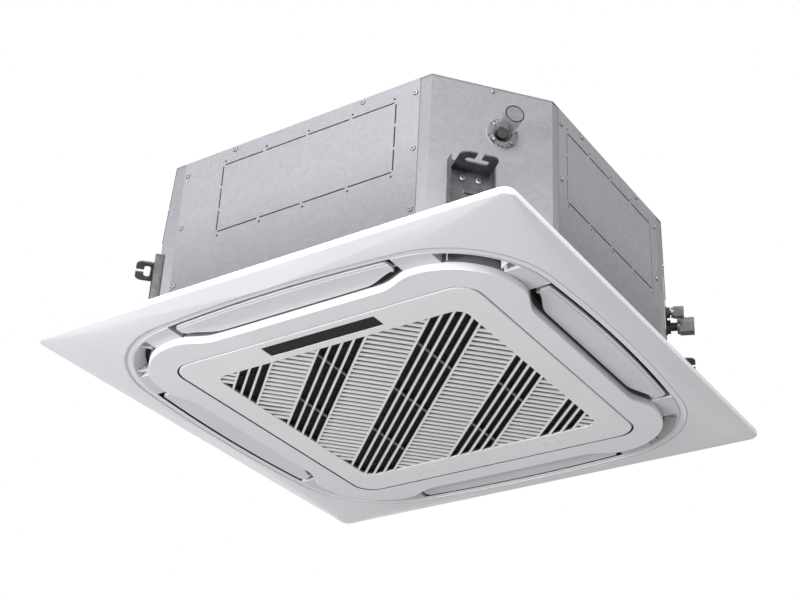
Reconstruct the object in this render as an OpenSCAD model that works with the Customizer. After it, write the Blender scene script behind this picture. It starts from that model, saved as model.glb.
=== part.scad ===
// Ceiling cassette air conditioner with four louvres and a slatted intake grille.
// Millimetres. Z = 0 is the ceiling's underside, +Z goes up into the ceiling void,
// and the Z axis runs down the middle of the square panel. The display edge faces -Y.

/* [Panel] */
// Width and depth of the ceiling panel
panel_w = 950; // [945:1:970]
// Radius of the panel's outer corners
panel_r = 20; // [8:1:40]
// Height of the panel's outer lip below the ceiling
lip_h = 10.5; // [9:0.5:13]
// Rounding of the lip's lower edge
lip_edge = 4; // [2:0.5:6]
// Width of the flat rim that meets the ceiling
lip_seat = 8; // [6:0.5:12]
// How far the ring around the louvres lies below the lip
face_drop = 8; // [6:0.5:10]
// Thickness of the moulded panel
skin = 3; // [2.5:0.5:3.5]
// Width of the sloping rim between the panel's edge and the ring around the louvres
rim_w = 44; // [42:0.5:45]
// Radius of the ring's bowed sides
ring_bow = 2560; // [2300:10:2900]
// Radius of the ring's corners
ring_r = 200; // [185:1:210]
// Width of the stepped band inside the ring's outline
ring_band = 12; // [11:0.5:13]

/* [Intake frame] */
// How far the intake frame stands proud of the ring
frame_drop = 12; // [10:0.5:14]
// Depth of an air outlet, from the ring in to the intake frame's waist
outlet_d = 81; // [79:0.5:83]
// Half length of the waist's straight stretch
waist_flat = 170; // [155:1:180]
// Radius of the intake frame's rounded corners
bulge_r = 131; // [128:0.5:133]
// How far the rounded corners stand out past the waist
bulge_out = 21; // [20:0.5:22]
// Width of the intake frame's face beside the grille door, at the waist
frame_border = 43; // [41:0.5:45]
// Width of the flange round the opening that the air goes up through
intake_flange = 22; // [20:0.5:24]

/* [Louvres] */
// Length of each air outlet
outlet_len = 450; // [446:1:452]
// Gap between a louvre's end and the end of its outlet
louvre_end_gap = 10; // [8:0.5:12]
// Gap between a louvre and the long edges of its outlet
louvre_gap = 7; // [5:0.5:8]
// Half length of a louvre's straight inner edge
louvre_flat = 145; // [130:1:160]
// How far a louvre narrows towards its ends
louvre_taper = 22; // [16:0.5:24]
// Thickness of a louvre's blade
louvre_t = 2.5; // [2:0.25:3]
// Distance from the intake frame's waist out to a louvre's pivot
pivot_out = 29; // [28:0.5:31]
// Height of the pivot above the louvre's face
louvre_rise = 10; // [9:0.25:11]
// Radius of a louvre's pivot pin
louvre_pin_r = 2.5; // [2:0.25:3]

/* [Grille door] */
// Radius of the door's corners
door_r = 42; // [30:1:50]
// Thickness of the door over its rims
door_t = 8; // [7.5:0.25:9]
// Gap between the door and the intake frame
door_gap = 1.5; // [1.25:0.25:2]
// Border of the slatted field at the door's right and left sides
field_side = 51.5; // [50:0.5:55]
// Border of the slatted field at the display edge and the latch edge
field_end = 65.5; // [64:0.5:70]
// Radius of the field's corners
field_r = 23; // [10:1:30]
// Distance between neighbouring diagonal bars
bar_pitch = 17; // [16:0.25:18]
// Width of a diagonal bar
bar_w = 3.8; // [3:0.1:4.5]
// Angle between the diagonal bars and the door's front edge
bar_turn = 43.5; // [40:0.5:48]
// Distance between neighbouring slats
slat_pitch = 16; // [14:0.5:18]
// Width of a slat's flat face
slat_w = 8; // [6:0.5:9]
// Thickness of a slat
slat_t = 1.6; // [1.2:0.1:2]
// Width of the display strip
display_w = 232; // [200:1:250]
// Depth of the display strip
display_d = 32; // [26:0.5:34]
// Distance of the hinge line from the door's edge
hinge_inset = 20; // [19:0.5:22]
// Height of the hinge line above the door's face
hinge_up = 3; // [2.75:0.25:3]
// Radius of the hinge pins
hinge_pin_r = 1.5; // [1.25:0.25:1.5]

/* [Casing] */
// How far the panel stands out past the casing at its right and left sides
casing_side = 42; // [40:0.5:44]
// How far the panel stands out past the casing at its front and rear
casing_front_in = 52; // [50:0.5:54]
// Height of the casing's top above the ceiling
casing_top = 307; // [302:1:330]
// Height of the casing's lower edge above the ceiling
casing_bottom = 8; // [7:0.5:10]
// Thickness of the sheet steel
sheet = 1.2; // [1:0.1:1.5]
// Chamfer at the drain corner, along X
drain_cut_x = 134; // [125:1:140]
// Chamfer at the drain corner, along Y
drain_cut_y = 162; // [155:1:170]
// Chamfer at the pipe corner, along X
pipe_cut_x = 112; // [105:1:120]
// Chamfer at the pipe corner, along Y
pipe_cut_y = 265; // [255:1:275]
// Chamfer at the two far corners, along X
far_cut_x = 192; // [185:1:200]
// Chamfer at the two far corners, along Y
far_cut_y = 182; // [175:1:190]

/* [Hangers] */
// How far the hanger slots' middle lies inside the casing's sides, along X
hanger_side = 93; // [90:1:96]
// How far the hanger slots' middle lies inside the casing's sides, along Y
hanger_front = 33; // [30:1:36]
// Offset of the hanger slots' middle from the panel's middle, along X
hanger_shift = 28; // [26:0.5:30]
// Height of the hanger plates above the ceiling
hanger_z = 128; // [110:1:150]
// Width of a hanger slot, for a 10 mm rod
hanger_slot_w = 11; // [10.5:0.5:13]
// Length of a hanger slot
hanger_slot_l = 39; // [30:1:44]

/* [Fan and coil] */
// Diameter of the turbo fan
fan_d = 450; // [420:1:460]
// Height of the fan's outlet between hub and shroud
fan_h = 130; // [120:1:135]
// Number of fan blades
blade_count = 7; // [5:1:9]
// Inner radius of the bell mouth's throat
throat_r = 142; // [130:1:150]
// Room between the heat exchanger and the casing's front and rear
coil_room = 83; // [80:1:87]
// Thickness of the heat exchanger
coil_t = 38; // [26:1:42]
// Outer radius of the heat exchanger's bends
coil_r = 110; // [100:1:120]

/* [Pipes and drain] */
// Outer radius of the drain spigot
drain_r = 16; // [13:0.5:17]
// Wall of the drain spigot
drain_wall = 2; // [1.5:0.25:3]
// Length of the drain spigot outside its flange
drain_l = 58; // [45:1:70]
// Outer radius of the gas pipe
gas_r = 7.9; // [6.35:0.05:8]
// Outer radius of the liquid pipe
liquid_r = 4.8; // [3.2:0.05:4.8]
// Width of the gas flare nut across its flats
gas_nut_w = 29; // [26:0.5:29]
// Width of the liquid flare nut across its flats
liquid_nut_w = 20; // [17:0.5:22]

/* [Hidden] */

// General clearances and steps
over = 1; // overrun of a cut past a face
gap = 0.3; // clearance between pieces that don't touch
run_fit = 0.05; // radial clearance of a pin in its bearing
layer = 0.05; // thickness of the sheets that a blended form spans
side_steps = 14;
bend_steps = 14;
corner_steps = 8;
ease_steps = 8;
$fn = 72;

// Colours
panel_c = [0.93, 0.93, 0.92];
grille_c = [0.95, 0.95, 0.94];
steel_c = [0.72, 0.73, 0.74];
bracket_c = [0.35, 0.36, 0.37];
foam_c = [0.88, 0.88, 0.86];
dark_c = [0.12, 0.12, 0.12];
copper_c = [0.72, 0.45, 0.3];
clear_c = [0.75, 0.75, 0.72, 0.7];
nut_c = [0.62, 0.62, 0.6];

// Levels
lip_z = -lip_h;
ring_z = lip_z - face_drop;
face_z = ring_z - frame_drop;
deck_z = casing_top - sheet;
casing_h = deck_z - casing_bottom;

// Widths that follow from the panel's
ring_half = panel_w / 2 - rim_w;
waist_half = ring_half - outlet_d;
bulge_half = waist_half + bulge_out;
bulge_c = bulge_half - bulge_r;
door_w = 2 * (waist_half - frame_border);
intake_half = door_w / 2 - intake_flange;
field_w = door_w - 2 * field_side;
field_d = door_w - 2 * field_end;
louvre_len = outlet_len - 2 * louvre_end_gap;
louvre_pivot = waist_half + pivot_out;
casing_w = panel_w - 2 * casing_side;
casing_d = panel_w - 2 * casing_front_in;
hanger_x = casing_w - 2 * hanger_side;
hanger_y = casing_d - 2 * hanger_front;
coil_half = casing_d / 2 - coil_room;

// Shape helpers
function arc(c, r, a0, a1, n) =
    [for (i = [0:n]) let(a = a0 + (a1 - a0) * i / n) [c[0] + r * cos(a), c[1] + r * sin(a)]];
function inner(p) = [for (i = [1:len(p) - 2]) p[i]];
function turned(p, q) = q == 0 ? p : turned([p[1], -p[0]], q - 1);
function ease(t) = t * t * (3 - 2 * t);
function round_rect(w, d, r) = concat(
    arc([w / 2 - r, d / 2 - r], r, 0, 90, corner_steps),
    arc([r - w / 2, d / 2 - r], r, 90, 180, corner_steps),
    arc([r - w / 2, r - d / 2], r, 180, 270, corner_steps),
    arc([w / 2 - r, r - d / 2], r, 270, 360, corner_steps));

module rounded(half, r) {
    polygon(round_rect(2 * half, 2 * half, r));
}

module slab(z0, z1) {
    translate([0, 0, z0]) linear_extrude(height = z1 - z0) children();
}

module strip(half) {
    translate([-half, -panel_w / 2]) square([2 * half, panel_w / 2]);
}

// The ring: a square with bowed sides and corner arcs that meet them smoothly
ring_mid = ring_half - ring_bow;
ring_rest = ring_bow - ring_r;
ring_corner = (ring_mid + sqrt(2 * ring_rest * ring_rest - ring_mid * ring_mid)) / 2;
ring_turn = atan2(ring_corner, ring_corner - ring_mid);
function ring_quarter(inset) = concat(
    arc([0, ring_mid], ring_bow - inset, 90 + ring_turn, 90 - ring_turn, side_steps),
    inner(arc([ring_corner, ring_corner], ring_r - inset, 90 - ring_turn, ring_turn, bend_steps)));

module ring2d(inset) {
    polygon([for (q = [0:3]) for (p = ring_quarter(inset)) turned(p, q)]);
}

// The intake frame's outline: straight waists eased out to four round corners
function waist_point(i, inset) = [
    waist_flat + (bulge_c - waist_flat) * i / ease_steps,
    waist_half - inset + (bulge_half - waist_half) * ease(i / ease_steps)];
function frame_quarter(inset) = concat(
    [for (i = [ease_steps:-1:0]) let(p = waist_point(i, inset)) [-p[0], p[1]]],
    [for (i = [0:ease_steps]) waist_point(i, inset)],
    inner(arc([bulge_c, bulge_c], bulge_r - inset, 90, 0, bend_steps)));

module frame2d(inset) {
    polygon([for (q = [0:3]) for (p = frame_quarter(inset)) turned(p, q)]);
}

// The casing's plan: a rectangle with four unequal chamfers
casing_x = casing_w / 2;
casing_y = casing_d / 2;
casing_points = [
    [far_cut_x - casing_x, -casing_y], [casing_x - drain_cut_x, -casing_y],
    [casing_x, drain_cut_y - casing_y], [casing_x, casing_y - pipe_cut_y],
    [casing_x - pipe_cut_x, casing_y], [far_cut_x - casing_x, casing_y],
    [-casing_x, casing_y - far_cut_y], [-casing_x, far_cut_y - casing_y]];

module casing2d(inset) {
    offset(delta = -inset) polygon(casing_points);
}

// Puts children on edge i of the casing: X runs along the edge from its first point,
// Y points outwards and Z stays up
function edge_start(i) = casing_points[i];
function edge_run(i) = casing_points[(i + 1) % len(casing_points)] - casing_points[i];
function edge_turn(i) = atan2(edge_run(i)[1], edge_run(i)[0]);
function edge_unit(i) = edge_run(i) / norm(edge_run(i));
function edge_along(i, p) = (p - edge_start(i)) * edge_unit(i);
function edge_out(i, p) = (p - edge_start(i)) * [edge_unit(i)[1], -edge_unit(i)[0]];

module on_edge(i) {
    translate([edge_start(i)[0], edge_start(i)[1], 0]) rotate([0, 0, edge_turn(i)])
        mirror([0, 1, 0]) children();
}

module bore(at, r, l) {
    translate(at) rotate([90, 0, 0]) cylinder(r = r, h = l, center = true);
}

FRONT = 0;
DRAIN = FRONT + 1;
RIGHT = DRAIN + 1;
PIPE = RIGHT + 1;
REAR = PIPE + 1;
BACK_LEFT = REAR + 1;
LEFT = BACK_LEFT + 1;
FRONT_LEFT = LEFT + 1;
FACES = [FRONT, RIGHT, REAR, LEFT];
CORNERS = [DRAIN, PIPE, BACK_LEFT, FRONT_LEFT];

// Casing sheet metal
flap = 22; // how far a corner plate wraps round onto a face
flap_lap = 15; // how far the face plate laps over it
top_flange_h = 14;
screw_r = 2; // casing screws
screw_head_r = 4;
screw_head_h = 2.2;
screw_l = 6;
seam_in = 8; // from a face plate's edge to its seam screws
top_screw_drop = 6; // from the deck down to the top row of screws
seam_shares = [0.15, 0.54, 0.91]; // heights of the seam screws
top_share = 0.25; // the top screws' place along a face, from either end
knock_w = 360; // knock-out panels on the long faces
knock_w_side = 320;
knock_h = 138;
knock_up = 128; // from the casing's lower edge to the knock-out
slit = 1.6;
slit_bridge = 7;
pilot_r = 2;
pilot_out = 8; // pilot holes' distance outside a knock-out
rib_w = 18; // pressed ribs of the top plate
rib_h = 3;
rib_share = 0.34; // length of a rib, as a share of the casing's width
tab_w = 64; // folded tabs that the panel screws go into
tab_d = 45;
panel_screw_x = outlet_len / 2 + tab_w / 2 + over;
panel_screw_out = 31; // from the casing's front and rear in to the panel screws
panel_screw_y = casing_y - panel_screw_out;
panel_screw_r = 2.5;
panel_screw_head_r = 5;
panel_screw_head_h = 3;
panel_screw_up = 22;

function edge_len(i) = norm(edge_run(i));
function knock_width(i) = (i == FRONT || i == REAR) ? knock_w : knock_w_side;

module face_screw_sites(i) {
    for (s = [flap + seam_in, edge_len(i) - flap - seam_in]) for (share = seam_shares)
        translate([s, 0, casing_bottom + share * casing_h]) children();
    for (share = [top_share, 1 - top_share])
        translate([share * edge_len(i), 0, deck_z - top_screw_drop]) children();
}

module corner_screw_sites(i) {
    translate([edge_len(i) / 2, 0, deck_z - top_screw_drop]) children();
}

module screw_hole() {
    bore([0, 0, 0], screw_r + gap, 2 * (screw_l + sheet + over));
}

module casing_screw() {
    rotate([-90, 0, 0]) {
        cylinder(r = screw_head_r, h = screw_head_h);
        translate([0, 0, -screw_l]) cylinder(r = screw_r, h = screw_l);
    }
}

module face_holes(i) {
    on_edge(i) face_screw_sites(i) screw_hole();
}

// Knock-out: a row of slits along each side of a rectangle, and pilot holes outside it
module knock_out(i) {
    w = knock_width(i);
    long_slit = w / 4 - slit_bridge;
    short_slit = knock_h / 3 - slit_bridge;
    z0 = casing_bottom + knock_up;
    translate([edge_len(i) / 2 - w / 2, -over, z0]) {
        for (k = [0:3]) for (z = [0, knock_h])
            translate([k * w / 4 + slit_bridge / 2, -over, z]) cube([long_slit, 2 * sheet + 2 * over, slit]);
        for (k = [0:2]) for (x = [0, w])
            translate([x, -over, k * knock_h / 3 + slit_bridge / 2])
                cube([slit, 2 * sheet + 2 * over, short_slit]);
        for (k = [0:3]) for (z = [-pilot_out, knock_h + pilot_out])
            bore([k * w / 4 + slit_bridge, 0, z], pilot_r, 2 * (sheet + 2 * over));
    }
}

module face_plate(i) {
    difference() {
        on_edge(i) translate([flap, -sheet, casing_bottom])
            cube([edge_len(i) - 2 * flap, sheet, casing_h]);
        face_holes(i);
        on_edge(i) knock_out(i);
    }
}

module panel_screw_holes(z) {
    for (x = [-panel_screw_x, panel_screw_x]) for (y = [-panel_screw_y, panel_screw_y])
        translate([x, y, z - over]) cylinder(r = panel_screw_r + gap, h = panel_screw_up + over);
}

module casing_front() color(steel_c) face_plate(FRONT);
module casing_right() color(steel_c) face_plate(RIGHT);
module casing_rear() color(steel_c) face_plate(REAR);
module casing_left() color(steel_c) face_plate(LEFT);

// A corner plate follows a chamfer and wraps round onto both faces, one sheet further in
module corner_blank(i) {
    reach = flap + flap_lap;
    slab(casing_bottom, deck_z) intersection() {
        difference() {
            casing2d(sheet);
            casing2d(2 * sheet);
        }
        offset(r = reach) polygon([casing_points[i], casing_points[(i + 1) % 8],
            casing_points[i] * (1 - reach / casing_w)]);
    }
    slab(casing_bottom, casing_bottom + sheet) intersection() {
        casing2d(sheet);
        tabs2d(0);
        offset(r = reach) polygon([casing_points[i], casing_points[(i + 1) % 8],
            casing_points[i] * (1 - tab_w / casing_w)]);
    }
}

// Folded tabs at the casing's lower edge, one for each panel screw
module tabs2d(grow) {
    for (x = [-panel_screw_x, panel_screw_x]) for (y = [-casing_y, casing_y - tab_d])
        translate([x - tab_w / 2 - grow, y - grow]) square([tab_w + 2 * grow, tab_d + 2 * grow]);
}

module corner_plate(i) {
    difference() {
        corner_blank(i);
        face_holes((i + 7) % 8);
        face_holes((i + 1) % 8);
        on_edge(i) corner_screw_sites(i) screw_hole();
        hanger_holes(i);
        panel_screw_holes(casing_bottom);
        children();
    }
}

module corner_drain() color(steel_c) corner_plate(DRAIN) drain_holes();
module corner_pipe() color(steel_c) corner_plate(PIPE) pipe_window();
module corner_back() color(steel_c) corner_plate(BACK_LEFT);
module corner_left() color(steel_c) corner_plate(FRONT_LEFT);

module casing_top_plate() color(steel_c) difference() {
    union() {
        slab(deck_z, casing_top) casing2d(0);
        slab(deck_z - top_flange_h, deck_z) difference() {
            casing2d(2 * sheet);
            casing2d(3 * sheet);
        }
        for (a = [45, 135, 225, 315]) rotate([0, 0, a])
            translate([motor_foot_pcd / 2 + rib_w, -rib_w / 2, deck_z])
                cube([rib_share * casing_w - rib_w, rib_w, sheet + rib_h]);
    }
    for (i = FACES) face_holes(i);
    for (i = CORNERS) on_edge(i) corner_screw_sites(i) screw_hole();
    for (a = [0:motor_foot_count - 1]) rotate([0, 0, a * 360 / motor_foot_count])
        translate([motor_foot_pcd / 2, 0, deck_z - over])
            cylinder(r = motor_stud_r + gap, h = sheet + rib_h + 2 * over);
}

module casing_screws() color(nut_c) {
    for (i = FACES) on_edge(i) face_screw_sites(i) casing_screw();
    for (i = CORNERS) on_edge(i) translate([0, -sheet, 0]) corner_screw_sites(i) casing_screw();
}

// Hanger brackets: a channel screwed to each chamfer, with a slotted plate for the rod
bracket_w = 76;
bracket_t = 2;
bracket_up = 18;
bracket_down = 74;
bracket_lip = 16;
plate_w = 65;
plate_t = 3;
plate_margin = 20; // plate beyond the slot's middle
plate_r = 14; // rounding of the plate's outer corners
bracket_screw_x = 13.5;
bracket_screw_drop = 14;
bracket_low_drop = 58;
bracket_screw_r = 2.5;
bracket_head_r = 5;
lance_w = 22;
lance_h = 12;
hanger_at = [for (i = [0:7]) [
    hanger_shift + (i <= PIPE ? hanger_x / 2 : -hanger_x / 2),
    (i == DRAIN || i == FRONT_LEFT ? -hanger_y / 2 : hanger_y / 2)]];
function hanger_s(i) = edge_along(i, hanger_at[i]);
function hanger_reach(i) = edge_out(i, hanger_at[i]);

module hanger_screw_sites(i) {
    for (x = [-bracket_screw_x, bracket_screw_x]) for (z = [-bracket_screw_drop, -bracket_low_drop])
        translate([hanger_s(i) + x, 0, hanger_z + z]) children();
}

module hanger_holes(i) {
    on_edge(i) hanger_screw_sites(i) bore([0, 0, 0], bracket_screw_r + gap, 2 * (screw_l + over));
}

module slot2d(w, l) {
    square([l - w, w], center = true);
    for (x = [w - l, l - w]) translate([x / 2, 0]) circle(r = w / 2);
}

// The rounded end of a hanger's plate, as far out as it reaches
module plate_end2d(reach) {
    for (x = [plate_r - plate_w / 2, plate_w / 2 - plate_r])
        translate([x, reach - plate_r]) circle(r = plate_r);
    translate([plate_r - plate_w / 2, reach - 2 * plate_r]) square([plate_w - 2 * plate_r, 2 * plate_r]);
}

module hanger(i) color(bracket_c) on_edge(i) translate([hanger_s(i), -sheet, hanger_z]) difference() {
    union() {
        translate([-bracket_w / 2, 0, -bracket_down]) cube([bracket_w, bracket_t, bracket_down + bracket_up]);
        for (x = [-bracket_w / 2, bracket_w / 2 - bracket_t])
            translate([x, 0, -bracket_down]) cube([bracket_t, bracket_lip, bracket_down + bracket_up]);
        slab(0, plate_t) difference() {
            translate([-plate_w / 2, 0]) square([plate_w, sheet + hanger_reach(i) + plate_margin - plate_r]);
            plate_end2d(sheet + hanger_reach(i) + plate_margin);
            translate([0, sheet + hanger_reach(i)]) {
                slot2d(hanger_slot_w, hanger_slot_l);
                translate([-hanger_slot_w / 2, 0]) square([hanger_slot_w, plate_margin + over]);
            }
        }
        translate([-lance_w / 2, 0, -bracket_screw_drop - lance_h])
            cube([lance_w / 3, bracket_t + lance_h / 2, bracket_t]);
    }
    for (x = [-bracket_screw_x, bracket_screw_x]) for (z = [-bracket_screw_drop, -bracket_low_drop])
        bore([x, 0, z], bracket_screw_r + gap, 2 * (screw_l + over));
    translate([-lance_w / 2, -over, -(bracket_screw_drop + bracket_low_drop) / 2 - lance_h / 2])
        cube([lance_w, bracket_t + 2 * over, lance_h]);
}

module hanger_drain() hanger(DRAIN);
module hanger_pipe() hanger(PIPE);
module hanger_back() hanger(BACK_LEFT);
module hanger_left() hanger(FRONT_LEFT);

module hanger_screws() color(nut_c)
    for (i = CORNERS) on_edge(i) translate([0, bracket_t - sheet, 0]) hanger_screw_sites(i)
      rotate([-90, 0, 0]) {
        cylinder(r = bracket_head_r, h = screw_head_h);
        translate([0, 0, -screw_l]) cylinder(r = bracket_screw_r, h = screw_l);
    }

// Drain spigot on the drain corner
drain_s = 122;
drain_z = 216.5;
drain_flange_r = 26.5;
drain_flange_t = 3;
drain_gasket_t = 2;
drain_screw_pcd = 42;
drain_screw_r = 1.5;
drain_in = 12; // stub inside the casing, for the pump's hose
drain_face = drain_gasket_t - sheet;

module at_drain() {
    on_edge(DRAIN) translate([drain_s, 0, drain_z]) rotate([-90, 0, 0]) children();
}

module drain_screw_sites() {
    for (a = [45, 135, 225, 315]) rotate([0, 0, a]) translate([drain_screw_pcd / 2, 0, 0]) children();
}

module drain_holes() at_drain() {
    translate([0, 0, -drain_in]) cylinder(r = drain_r + gap, h = drain_in + over);
    drain_screw_sites() translate([0, 0, -drain_in]) cylinder(r = drain_screw_r + gap, h = drain_in + over);
}

module drain_spigot() color(clear_c) at_drain() difference() {
    union() {
        translate([0, 0, drain_face]) cylinder(r = drain_flange_r, h = drain_flange_t);
        translate([0, 0, -drain_in]) cylinder(r = drain_r, h = drain_in + drain_l);
    }
    translate([0, 0, -drain_in - over]) cylinder(r = drain_r - drain_wall, h = drain_in + drain_l + 2 * over);
    drain_screw_sites() cylinder(r = drain_screw_r + gap, h = drain_l);
}

module drain_gasket() color(dark_c) at_drain() translate([0, 0, -sheet]) difference() {
    cylinder(r = drain_flange_r, h = drain_gasket_t);
    translate([0, 0, -over]) cylinder(r = drain_r + gap, h = drain_gasket_t + 2 * over);
    drain_screw_sites() translate([0, 0, -over])
        cylinder(r = drain_screw_r + gap, h = drain_gasket_t + 2 * over);
}

module drain_screws() color(nut_c) at_drain() drain_screw_sites()
    translate([0, 0, drain_face + drain_flange_t]) {
        cylinder(r = 2 * drain_screw_r, h = drain_screw_r);
        translate([0, 0, -screw_l - drain_flange_t])
            cylinder(r = drain_screw_r, h = screw_l + drain_flange_t);
    }

// Refrigerant pipes on the pipe corner
gas_s = 100;
liquid_s = 60;
gas_z = 139.5;
liquid_z = 147;
pipe_wall = 1;
gas_out = 51;
liquid_out = 33;
gas_in = 75;
liquid_in = 52;
window_w = 104;
window_h = 84;
pipe_plate_lap = 12;
pipe_plate_w = window_w + 2 * pipe_plate_lap;
pipe_plate_h = window_h + 2 * pipe_plate_lap;
pipe_mid_s = (gas_s + liquid_s) / 2;
pipe_mid_z = (gas_z + liquid_z) / 2;
pipe_face = -sheet;
seal_t = 14;
seal_wall = 5;
nut_l_gas = 26;
nut_l_liquid = 18;
nut_neck = 5;
header_r = 11;
header_z0 = 75;
header_z1 = 285;
manifold_r = 7;
manifold_z0 = 100;
manifold_z1 = 200;
stub_r = 3;
stub_count = 4;

module pipe_window() on_edge(PIPE)
    translate([pipe_mid_s - window_w / 2, -sheet - 4 * sheet, pipe_mid_z - window_h / 2])
        cube([window_w, 8 * sheet, window_h]);

module at_pipe(s, z) {
    on_edge(PIPE) translate([s, 0, z]) rotate([-90, 0, 0]) children();
}

module pipe_plate() color(steel_c) difference() {
    on_edge(PIPE) translate([pipe_mid_s - pipe_plate_w / 2, pipe_face, pipe_mid_z - pipe_plate_h / 2])
        cube([pipe_plate_w, sheet, pipe_plate_h]);
    at_pipe(gas_s, gas_z) translate([0, 0, -seal_t])
        cylinder(r = gas_r + seal_wall + gap, h = 2 * seal_t);
    at_pipe(liquid_s, liquid_z) translate([0, 0, -seal_t])
        cylinder(r = liquid_r + seal_wall + gap, h = 2 * seal_t);
}

module seal_ring(r) {
    difference() {
        union() {
            translate([0, 0, -seal_t / 2]) cylinder(r = r + seal_wall, h = seal_t + sheet);
            cylinder(r = r + seal_wall + 2 * sheet, h = 2 * sheet);
        }
        translate([0, 0, -seal_t]) cylinder(r = r + gap / 2, h = 3 * seal_t);
    }
}

module pipe_seal() color(dark_c) {
    at_pipe(gas_s, gas_z) seal_ring(gas_r);
    at_pipe(liquid_s, liquid_z) seal_ring(liquid_r);
}

module tube(r, wall, z0, z1) {
    difference() {
        translate([0, 0, z0]) cylinder(r = r, h = z1 - z0);
        translate([0, 0, z0 - over]) cylinder(r = r - wall, h = z1 - z0 + 2 * over);
    }
}

module gas_pipe() color(copper_c) {
    difference() {
        union() {
            at_pipe(gas_s, gas_z) translate([0, 0, -gas_in]) cylinder(r = gas_r, h = gas_in + gas_out);
            at_pipe(gas_s, 0) translate([0, 0, -gas_in]) rotate([90, 0, 0]) translate([0, 0, header_z0])
                cylinder(r = header_r, h = header_z1 - header_z0);
            gas_stubs();
        }
        at_pipe(gas_s, gas_z) translate([0, 0, -gas_in])
            cylinder(r = gas_r - pipe_wall, h = gas_in + gas_out + over);
    }
}

header_xy = edge_start(PIPE) + edge_unit(PIPE) * gas_s - gas_in * [edge_unit(PIPE)[1], -edge_unit(PIPE)[0]];
manifold_xy = edge_start(PIPE) + edge_unit(PIPE) * liquid_s
    - liquid_in * [edge_unit(PIPE)[1], -edge_unit(PIPE)[0]];

module gas_stubs() {
    pitch = (header_z1 - header_z0) / (stub_count + 1);
    for (k = [1:stub_count])
        translate([header_xy[0], header_xy[1], header_z0 + k * pitch]) rotate([90, 0, 0])
            cylinder(r = stub_r, h = header_xy[1] - coil_end - end_plate_t);
}

module liquid_pipe() color(copper_c) {
    difference() {
        union() {
            at_pipe(liquid_s, liquid_z) translate([0, 0, -liquid_in])
                cylinder(r = liquid_r, h = liquid_in + liquid_out);
            translate([manifold_xy[0], manifold_xy[1], manifold_z0])
                cylinder(r = manifold_r, h = manifold_z1 - manifold_z0);
            for (k = [0:stub_count - 1])
                translate([coil_half + gap, manifold_xy[1],
                    manifold_z0 + (k + 1) * (manifold_z1 - manifold_z0) / (stub_count + 1)])
                    rotate([0, 90, 0]) cylinder(r = stub_r, h = manifold_xy[0] - coil_half - gap);
        }
        at_pipe(liquid_s, liquid_z) translate([0, 0, -liquid_in])
            cylinder(r = liquid_r - pipe_wall, h = liquid_in + liquid_out + over);
    }
}

// Flare nut: a hexagon with a round inner rim and a short neck
module flare_nut(w, l, r) {
    difference() {
        union() {
            cylinder(r = w / sqrt(3), h = l, $fn = 6);
            translate([0, 0, -nut_neck]) cylinder(r = w / 2, h = nut_neck);
        }
        translate([0, 0, -nut_neck - over]) cylinder(r = r + gap, h = l + nut_neck + 2 * over);
    }
}

module gas_nut() color(nut_c) at_pipe(gas_s, gas_z)
    translate([0, 0, gas_out - nut_l_gas]) flare_nut(gas_nut_w, nut_l_gas, gas_r);
module liquid_nut() color(nut_c) at_pipe(liquid_s, liquid_z)
    translate([0, 0, liquid_out - nut_l_liquid]) flare_nut(liquid_nut_w, nut_l_liquid, liquid_r);

// Insulation, drain pan and heat exchanger
coil_z0 = 38;
coil_z1 = 296;
coil_cut = 140; // how far both ends of the heat exchanger stop short of the pipe corner
coil_end = coil_half - coil_cut;
end_plate_t = 2;
pan_top = 58;
pan_wall = 1;
pan_inset = 8; // how much smaller the pan's air slots are than the panel's
trough_room = 6;
trough_z = coil_z0 - gap;
bell_room = 22; // from the heat exchanger's inside to the bell mouth's plate
recess_lap = 4; // the pan's recess is this much wider than the bell mouth's plate
bell_plate_half = coil_half - coil_t - bell_room;
recess_half = bell_plate_half + recess_lap;
recess_top = 34;
pan_bore_r = 215;
foam_t = 10;
foam_top_z = coil_z1 + gap;
screw_pocket_r = 9;
bend_r = 11;
bend_tube_r = 4.5;
bend_count = 8;

module coil2d(grow, past) {
    difference() {
        rounded(coil_half + grow, coil_r + grow);
        rounded(coil_half - coil_t - grow, coil_r - coil_t - grow);
        translate([coil_end + past, coil_end + past]) square(coil_half);
    }
}

module duct2d(inset) {
    for (i = [0:3]) rotate(90 * i) difference() {
        intersection() {
            ring2d(ring_band + inset);
            strip(outlet_len / 2 - inset);
        }
        frame2d(-inset);
    }
}

module insulation() color(foam_c) difference() {
    union() {
        slab(foam_top_z, deck_z) difference() {
            casing2d(3 * sheet + gap);
            circle(r = motor_foot_pcd / 2 + motor_foot_r + foam_t / 2);
            translate(header_xy) circle(r = header_r);
        }
        slab(pan_top, foam_top_z - gap) difference() {
            casing2d(3 * sheet + gap);
            casing2d(3 * sheet + foam_t);
            on_edge2d(DRAIN);
            on_edge2d(PIPE);
        }
    }
    for (i = CORNERS) {
        hanger_holes(i);
        on_edge(i) corner_screw_sites(i) screw_hole();
    }
    for (i = FACES) face_holes(i);
}

// The stretch of wall along edge i, cleared for what passes through it
module on_edge2d(i) {
    translate(edge_start(i)) rotate(edge_turn(i)) translate([-flap, -over])
        square([edge_len(i) + 2 * flap, foam_t * 4]);
}

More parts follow.
